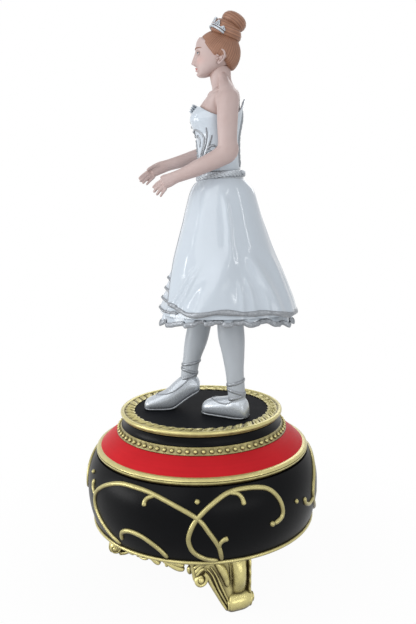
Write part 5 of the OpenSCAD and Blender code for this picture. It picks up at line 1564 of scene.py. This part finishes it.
            def over_eye(across, rise, radius):
                """Points round the eye, from angles across and up."""
                flat = radius * np.cos(rise)
                x, y = side * flat * np.sin(across), -flat * np.cos(across)
                return on_stage(centre + np.stack([x, y, 0.88 * radius * np.sin(rise)], -1))

            def lid_edge(opening):
                """Angle up to a lid's edge, which bows open in the middle."""
                return opening * (1 - t**2) + 0.04 * t

            across = 0.2 + 1.1 * t
            for opening, far in ((upper_lid, 1.2), (lower_lid, -1.15)):
                edge = lid_edge(opening)
                rise = edge[:, None] + (far - edge[:, None]) * np.linspace(0, 1, 9)
                wide = across[:, None] + 0 * rise
                out, back = over_eye(wide, rise, 2.0), over_eye(wide, rise, 1.6)
                lid.surface(np.concatenate([out, back[:, ::-1]], 1))
            line = over_eye(across, lid_edge(upper_lid) + 0.02, 2.02)
            pupil.surface(tube(line, 0.1, 0.13 + 0.05 * (1 - t**2), (0, 0, 1), 8))
            off = 4.2 + 3.0 * t
            ridge = 14.4 - 12.95 * np.sqrt(1 - (off / 9.9) ** 2) - 0.45 * bell(off, 3.6, 2.8)
            arc = CHIN_Z + EYE_UP + 2.75 + 0.5 * (1 - t**2) - 0.06 * t
            path = np.stack([FIGURE_X + side * off, ridge - 0.02, arc], -1)
            brow.surface(on_stage(tube(path, 0.22, 0.34 * (1 - 0.45 * t), (0, 0, 1), 10)))
        white.piece("EyeWhites", "eye_white", "turntable", "skin", crease=0)
        iris.piece("Irises", "iris", "turntable", "skin", crease=0)
        pupil.piece("PupilsAndLashes", "pupil", "turntable", "skin", crease=0)
        brow.piece("Brows", "brow", "turntable", "skin", crease=0)
        lid.piece("EyeLids", "skin", "turntable", "skin", crease=0)


# Hair and tiara


SKULL = np.array([FIGURE_X, 14.6, 210.3])
SKULL_R = np.array([10.8, 13.3, 13.6])
BUN_TILT = math.radians(33)
BUN_AXIS = np.array([0, math.sin(BUN_TILT), math.cos(BUN_TILT)])
BUN_FRONT = np.array([0, -math.cos(BUN_TILT), math.sin(BUN_TILT)])
# The hairline as [angle round the bun from its front, angle from the bun's axis]
HAIRLINE = [(0, 91), (25, 94), (48, 99), (75, 107), (90, 112), (100, 107), (129, 105), (155, 112), (180, 116)]
# The bun's tiers as [y, height, radius, half thickness, twist]
BUN_TIERS = [(19.6, 222.8, 9.7, 5.8, 3.0), (24.3, 228.5, 7.6, 5.0, -2.0)]


def round_bun(angle):
    """Directions square to the bun's axis, at angles from its front."""
    return np.cos(angle)[..., None] * BUN_FRONT + np.sin(angle)[..., None] * np.array([1.0, 0, 0])


class JEWELBOX_OT_hair(bpy.types.Operator):
    """Hair combed back into a bun of two tiers"""

    bl_idname = "jewelbox.hair"
    bl_label = "Hair"

    def execute(self, context):
        depth = context.scene.jewel_box_sizes.strand_depth
        form = Form()
        u = turn(900)[None]
        folded = np.degrees(np.abs(wrapped(u)))
        limit = np.radians(np.interp(folded, *np.array(HAIRLINE).T))
        share = np.linspace(0.04, 1, 80)[:, None]
        v = limit * share
        bend = u + 0.05 * np.sin(3 * u + 4 * share)
        uneven = 0.6 + 0.4 * np.sin(11 * bend + 3 * share) * np.sin(7 * bend)
        strand = 0.4 * np.sin(53 * bend) + 0.35 * np.sin(89 * bend + 2 * share)
        strand = (strand + 0.25 * np.sin(141 * bend - share)) * uneven
        ray = np.cos(v)[..., None] * BUN_AXIS + np.sin(v)[..., None] * round_bun(u)
        reach = 1 / np.sqrt(((ray / SKULL_R) ** 2).sum(-1))
        tuck = 1.1 * ease(share, 0.9, 1.0)
        combed = depth * strand * (1 - 0.6 * ease(share, 0.85, 1))
        rolled = 0.35 * ease(share, 0.9, 0.97) * (1 - tuck)
        reach = reach + combed - tuck + rolled
        form.surface(on_stage(SKULL + ray * reach[..., None]))
        form.mark("strand", np.clip(0.54 + 0.75 * strand, 0, 1) + 0 * share)
        for y, z, radius, half, twist in BUN_TIERS:
            lat = np.linspace(-1.42, 1.42, 60)[:, None]
            around = turn(260)[None]
            coil = lat + 0.16 * twist * np.sin(around + 0.6)
            wound = 0.45 * np.sin(19 * coil) + 0.35 * np.sin(33 * coil + np.sin(2 * around))
            wound = wound + 0.2 * np.sin(51 * coil)
            r = radius * np.cos(lat) ** 0.72 + 0.8 * depth * wound
            rise = half * np.sin(lat)
            centre = np.array([FIGURE_X, y, z])
            flat = round_bun(around) * r[..., None]
            form.surface(on_stage(centre + flat + BUN_AXIS * (rise + 0 * around)[..., None]))
            form.mark("strand", np.clip(0.54 + 0.5 * wound, 0, 1))
        form.piece("Hair", "hair", "turntable", "hair", ["hair"], 0)
        return {"FINISHED"}


class JEWELBOX_OT_tiara(bpy.types.Operator):
    """Small openwork crown in front of the bun"""

    bl_idname = "jewelbox.tiara"
    bl_label = "Tiara"

    def execute(self, context):
        form = Form()
        centre = np.array([FIGURE_X, 21.0, 221.1])

        reach = math.radians(84)

        def crown(angle, rise):
            """Points of the crown, which closes in on the hair towards its ends."""
            r = 11.6 - 1.9 * np.abs(angle / reach) ** 3
            flat = round_bun(angle) * np.asarray(r)[..., None]
            return on_stage(centre + flat + np.asarray(rise)[..., None] * BUN_AXIS)

        a = np.linspace(-reach, reach, 80)
        for rise, size in ((-1.6, 0.7), (-0.2, 0.4)):
            form.surface(tube(crown(a, rise - 0.6 * np.abs(a) ** 2), size, size, BUN_AXIS, 8))
        arches = 7
        for k in range(arches):
            middle = reach * 0.86 * (2 * k / (arches - 1) - 1)
            peak = 4.1 * math.cos(middle * 0.95) ** 1.3
            t = np.linspace(-1, 1, 21)
            course = crown(middle + 0.17 * t, -0.4 - 0.6 * middle**2 + peak * (1 - t**2))
            form.surface(tube(course, 0.48, 0.48, BUN_FRONT, 8))
            for rise, size in ((peak - 0.2, 0.85), (peak * 0.45 - 0.4, 0.7)):
                form.ball(crown(middle, rise - 0.6 * middle**2), (size,) * 3)
        form.piece("Tiara", "slipper", "turntable", "silver_paint", ["tiara"], 60)
        return {"FINISHED"}


# Legs and slippers


# Legs as [height, x, y, half width, half depth]
LEFT_LEG = [
    (9, 19, 22, 4.4, 4.8), (18, 18.8, 21.4, 4.4, 5), (26, 18.4, 20.8, 4.8, 5.2), (36, 17.6, 20.2, 5.8, 6.4),
    (46, 17, 19.3, 6.8, 7.6), (60, 16, 18.5, 6.6, 7.4), (80, 15, 17.5, 7.4, 8), (100, 14.6, 17, 8, 9),
]
RIGHT_LEG = [
    (15.5, 0.5, -7.4, 4.2, 4.9), (24, 0.2, -6.2, 4.5, 5), (31, 0, -4.6, 5.2, 5.5), (41, -0.2, -2, 6.2, 6.9),
    (60, 0, 2.5, 6.6, 7.2), (80, 0.2, 8, 7.2, 8), (100, -0.8, 14, 7.2, 9),
]
# Slippers as [distance from the heel, half width, height of the sole, height of the top]
LEFT_SHOE = [
    (0, 2.6, 0.8, 7), (1.4, 4.4, 0.2, 10.4), (6, 5.4, 0, 12.6), (11, 5.4, 0, 11.4), (16, 5.6, 0, 10.2),
    (21, 5.7, 0, 9.2), (25.2, 5.3, 0, 7.8), (27.6, 3.8, 0.1, 6.2), (28.6, 2, 0.7, 4.4),
]
RIGHT_SHOE = [
    (0, 2.6, 11.2, 15.4), (1.4, 4.2, 9.8, 18), (6, 5, 7.2, 20), (11, 5, 3.8, 18.4), (15.5, 5.2, 0.8, 15),
    (20, 5.3, 0, 11.2), (25.5, 5.3, 0, 8.4), (30, 4.9, 0, 6.6), (32.2, 3.6, 0.1, 5.2), (33.2, 1.8, 0.7, 3.4),
]
SHOES = (
    ("LeftSlipper", LEFT_SHOE, (21.5, 27.5), -118, "left_shoe"),
    ("RightSlipper", RIGHT_SHOE, (0, -0.5), -86, "right_shoe"),
)
# Turns of ribbon as [leg, height, tilt]
RIBBONS = [
    (LEFT_LEG, 11.6, 1.3), (LEFT_LEG, 14.6, -1.5), (LEFT_LEG, 19.6, 1.2),
    (RIGHT_LEG, 18.8, 1.5), (RIGHT_LEG, 22.2, -1.5), (RIGHT_LEG, 26.8, 1.0),
]
# Ends of the opening, as shares of a slipper's length
MOUTH_FROM, MOUTH_TO = 0.1, 0.8


def shoe_point(stations, heel, angle, along, around, proud=0.0):
    """Points of a slipper: distance from the heel, and the angle round it from its left side over the top."""
    wide, low_z, high_z = columns_at(stations, 8, along)
    middle, half = (low_z + high_z) / 2, (high_z - low_z) / 2
    z = np.maximum(low_z, middle + (half * 1.08 + proud) * np.sin(around))
    squared = np.sign(np.cos(around)) * np.abs(np.cos(around)) ** 0.8
    grid = np.stack([along + 0 * around, (wide + proud) * squared, z], -1)
    return turned_about(grid, angle) + np.array([*heel, 0])


def mouth_half(place):
    """Half angle of the slipper's opening over the instep, at a share of its length."""
    share = np.clip((place - MOUTH_FROM) / (MOUTH_TO - MOUTH_FROM), 0, 1)
    return 1.15 * np.sin(np.pi * share**0.75) ** 0.7


def leg_band(leg, low_z, high_z, turns, start, tilt=0.0):
    """A ribbon wound round a leg, from one height to another; a tilt lifts one side."""
    t = np.linspace(0, 1, int(60 * turns) + 20)
    a = start + 2 * np.pi * turns * t
    z = low_z + (high_z - low_z) * t + tilt * np.sin(a)
    x, y, wide, deep = columns_at(leg, 8, z)
    return oval(a, z, wide + 0.2, deep + 0.2, x, y), outward(a)


class JEWELBOX_OT_legs(bpy.types.Operator):
    """Stockinged legs, slippers and their ribbons"""

    bl_idname = "jewelbox.legs"
    bl_label = "Legs and slippers"

    def execute(self, context):
        for name, leg, node in (("LeftLeg", LEFT_LEG, "left_leg"), ("RightLeg", RIGHT_LEG, "right_leg")):
            form = Form().surface(on_stage(level_rings(leg, 8, 48)))
            form.piece(name, "stocking", "turntable", "stocking_white", [node])
        edges = Form()
        for name, stations, heel, angle, node in SHOES:
            s = curve_through(stations, 8)
            along, around = s[:, 0:1], turn(96)[None]
            grid = shoe_point(stations, heel, angle, along + 0 * around, around + 0 * along)
            form = Form().surface(on_stage(grid))
            over = np.abs(wrapped(around - np.pi / 2))
            length = s[-1, 0]
            form.mark("instep", np.clip((mouth_half(along / length) - over) * 6 + 0.5, 0, 1))
            form.piece(name, "slipper", "turntable", "silver_paint", [node], 50)
            there = np.linspace(MOUTH_FROM, MOUTH_TO, 40)
            back = np.linspace(MOUTH_TO, MOUTH_FROM, 40)[1:]
            run = np.concatenate([there, back])
            half = np.concatenate([mouth_half(there), -mouth_half(back)])
            line = shoe_point(stations, heel, angle, run * length, np.pi / 2 + half, 0.05)
            edges.surface(on_stage(tube(line, 0.36, 0.36, (0, 0, 1), 8)))
            sole = np.linspace(s[0, 0] + 0.2, length - 0.2, 60)
            for flank in (0, np.pi):
                line = shoe_point(stations, heel, angle, sole, np.full(60, flank), 0.0)
                line[:, 2] = np.interp(sole, s[:, 0], s[:, 2]) + 0.9
                edges.surface(on_stage(tube(line, 0.4, 0.5, (0, 0, 1), 8)))
        edges.piece("SlipperEdges", "silver", "turntable", "silver_paint", crease=50)
        ribbon = Form()
        for leg, height, tilt in RIBBONS:
            path, out = leg_band(leg, height, height + 1, 1.05, 2.7, tilt)
            ribbon.surface(on_stage(tube(path, 0.85, 0.3, out, 10)))
        ribbon.piece("Ribbons", "silver", "turntable", "silver_paint", crease=50)
        return {"FINISHED"}


# Solids that show as they are


PLAIN_NODES = {
    "platform_black": ["turntable_disc"],
    "flock": ["jewel_tray", "lid_liner"],
    "brass": [
        "turntable_bush", "dog_socket", "movement_bedplate", "spring_barrel", "barrel_cap",
        "cylinder_brackets", "comb_base", "governor_cage", "winding_key", "crown_wheel", "music_cylinder",
        "cylinder_pinion", "cylinder_wheel", "governor_pinion", "worm_wheel", "fly",
    ],
    "steel": [
        "turntable_shaft", "retaining_clip", "figure_pins", "foot_screws", "bedplate_screws", "mainspring",
        "music_comb", "comb_screws", "winding_arbor", "drive_spindle", "cylinder_shaft", "governor_shaft",
        "worm",
    ],
}


class JEWELBOX_OT_movement(bpy.types.Operator):
    """Finishes of the movement, the tray and the platform's bearing"""

    bl_idname = "jewelbox.movement"
    bl_label = "Movement and tray"

    def execute(self, context):
        for finish_name, nodes in PLAIN_NODES.items():
            for node in nodes:
                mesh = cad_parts[node].data
                mesh.materials.clear()
                mesh.materials.append(finish(finish_name))
        return {"FINISHED"}


# Stage


# The eye's distance and height in metres, its angle round the box in degrees, the lens in millimetres
EYE_DISTANCE, EYE_HEIGHT, EYE_AZIMUTH = 0.390, 0.2052, 94
LENS, SENSOR, ROLL = 37.5, 36, -0.02
# The picture's size, and where the horizon and the box's axis lie in it, in pixels
IMAGE_W, IMAGE_H = 416, 624
HORIZON_Y, AXIS_X = 216, 197.3


def area_light(name, place, target, size, power):
    """A white rectangular lamp that looks at the target."""
    lamp = bpy.data.lights.new(name, "AREA")
    lamp.shape, lamp.size, lamp.size_y = "RECTANGLE", *size
    lamp.energy = power
    made = bpy.data.objects.new(name, lamp)
    bpy.context.scene.collection.objects.link(made)
    made.location = place
    made.rotation_euler = (Vector(target) - Vector(place)).to_track_quat("-Z", "Y").to_euler()


def backdrop_seen(value):
    """1 where the backdrop is seen, straight or in a reflection, and 0 for the light that it gives."""
    rays = ("Is Camera Ray", "Is Glossy Ray", "Is Transmission Ray")
    camera, glossy, through = (value.node("LightPath", out=ray) for ray in rays)
    return value.maths("MAXIMUM", value.maths("MAXIMUM", camera, glossy), through)


class JEWELBOX_OT_stage(bpy.types.Operator):
    """Floor, soft light and camera"""

    bl_idname = "jewelbox.stage"
    bl_label = "Stage"

    def execute(self, context):
        scene = context.scene
        scene.view_settings.view_transform = "Standard"
        self.floor(scene)
        self.world(scene)
        middle = (0, 0, 0.16)
        area_light("KeyLight", (0.85, -0.68, 0.8), middle, (1.0, 1.0), 5.3)
        area_light("SideLight", (0.25, -1.0, 0.18), (0, 0, 0.1), (0.6, 0.3), 3.9)
        area_light("FillLight", (0.95, 0.6, 0.16), middle, (1.0, 0.3), 2.0)
        for name, azimuth in (("StripA", 27), ("StripB", 62), ("StripC", -82)):
            a = math.radians(azimuth)
            area_light(name, (math.cos(a), math.sin(a), 0.68), middle, (0.035, 0.5), 0.6)
        area_light("BackLight", (-0.8, 0.2, 0.7), middle, (0.7, 0.7), 2.6)
        self.camera(scene)
        return {"FINISHED"}

    def floor(self, scene):
        """A pale floor that keeps the shadow near the box."""
        mesh = bpy.data.meshes.new("Floor")
        half = 6.0
        corners = [(-half, -half, 0), (half, -half, 0), (half, half, 0), (-half, half, 0)]
        mesh.from_pydata(corners, [], [(0, 1, 2, 3)])
        floor = bpy.data.objects.new("Floor", mesh)
        scene.collection.objects.link(floor)
        f = Finish("floor_white")
        f.set(Base_Color=(0.82, 0.82, 0.82, 1), Roughness=0.9, Specular_IOR_Level=0.0)
        tree = f.tree
        glow = f.base.node("Emission", {"Color": (1, 1, 1, 1), "Strength": 1.0})
        lit = Value(tree, f.shader.outputs[0])
        distance = f.base.node("VectorMath", {0: f.base.node("NewGeometry")}, out=1, operation="LENGTH")
        white = distance.clamp(0.09, 0.2) * 0.04 + 0.96
        mixed = f.base.node("MixShader", {0: backdrop_seen(f.base) * white, 1: lit, 2: glow})
        tree.links.new(mixed.socket, tree.nodes["Material Output"].inputs["Surface"])
        mesh.materials.append(f.material)

    def world(self, scene):
        """A white surround, dimmer as a light than as a backdrop."""
        world = bpy.data.worlds.new("Studio")
        scene.world = world
        world.use_nodes = True
        tree = world.node_tree
        background = tree.nodes["Background"]
        background.inputs["Color"].default_value = (1, 1, 1, 1)
        strength = backdrop_seen(Value(tree, None)) * 0.55 + 0.45
        tree.links.new(strength.socket, background.inputs["Strength"])

    def camera(self, scene):
        """The camera, which looks level at the box's axis, with its picture shifted and a little rolled."""
        lens = bpy.data.cameras.new("Camera")
        camera = bpy.data.objects.new("Camera", lens)
        scene.collection.objects.link(camera)
        a = math.radians(EYE_AZIMUTH)
        back = Vector((math.sin(a), -math.cos(a), 0))
        camera.location = back * EYE_DISTANCE + Vector((0, 0, EYE_HEIGHT))
        camera.rotation_euler = (-back).to_track_quat("-Z", "Y").to_euler()
        camera.rotation_euler.rotate_axis("Z", ROLL)
        lens.lens, lens.sensor_width = LENS, SENSOR
        lens.shift_x = (IMAGE_W / 2 - AXIS_X) / IMAGE_H
        lens.shift_y = -(IMAGE_H / 2 - HORIZON_Y) / IMAGE_H
        lens.clip_start, lens.clip_end = 0.01, 20
        scene.camera = camera


class JEWELBOX_PT_panel(bpy.types.Panel):
    """Lists the pieces of the jewellery box"""

    bl_label = "Jewellery Box"
    bl_idname = "JEWELBOX_PT_panel"
    bl_space_type = "VIEW_3D"
    bl_region_type = "UI"
    bl_category = "Jewellery Box"

    def draw(self, context):
        for operator in OPERATORS:
            self.layout.operator(operator.bl_idname)


OPERATORS = (
    JEWELBOX_OT_bowl,
    JEWELBOX_OT_scrollwork,
    JEWELBOX_OT_stand,
    JEWELBOX_OT_lid,
    JEWELBOX_OT_platform,
    JEWELBOX_OT_dress,
    JEWELBOX_OT_skin,
    JEWELBOX_OT_hair,
    JEWELBOX_OT_tiara,
    JEWELBOX_OT_legs,
    JEWELBOX_OT_movement,
    JEWELBOX_OT_stage,
)
CLASSES = (JewelBoxSizes, JewelBoxColours, *OPERATORS, JEWELBOX_PT_panel)


def register():
    for cls in CLASSES:
        bpy.utils.register_class(cls)
    bpy.types.Scene.jewel_box_sizes = PointerProperty(type=JewelBoxSizes)
    bpy.types.Scene.jewel_box_colours = PointerProperty(type=JewelBoxColours)


def unregister():
    del bpy.types.Scene.jewel_box_colours
    del bpy.types.Scene.jewel_box_sizes
    for cls in reversed(CLASSES):
        bpy.utils.unregister_class(cls)


def main():
    register()
    for operator in OPERATORS:
        group, name = operator.bl_idname.split(".")
        getattr(getattr(bpy.ops, group), name)()


if __name__ == "__main__":
    main()
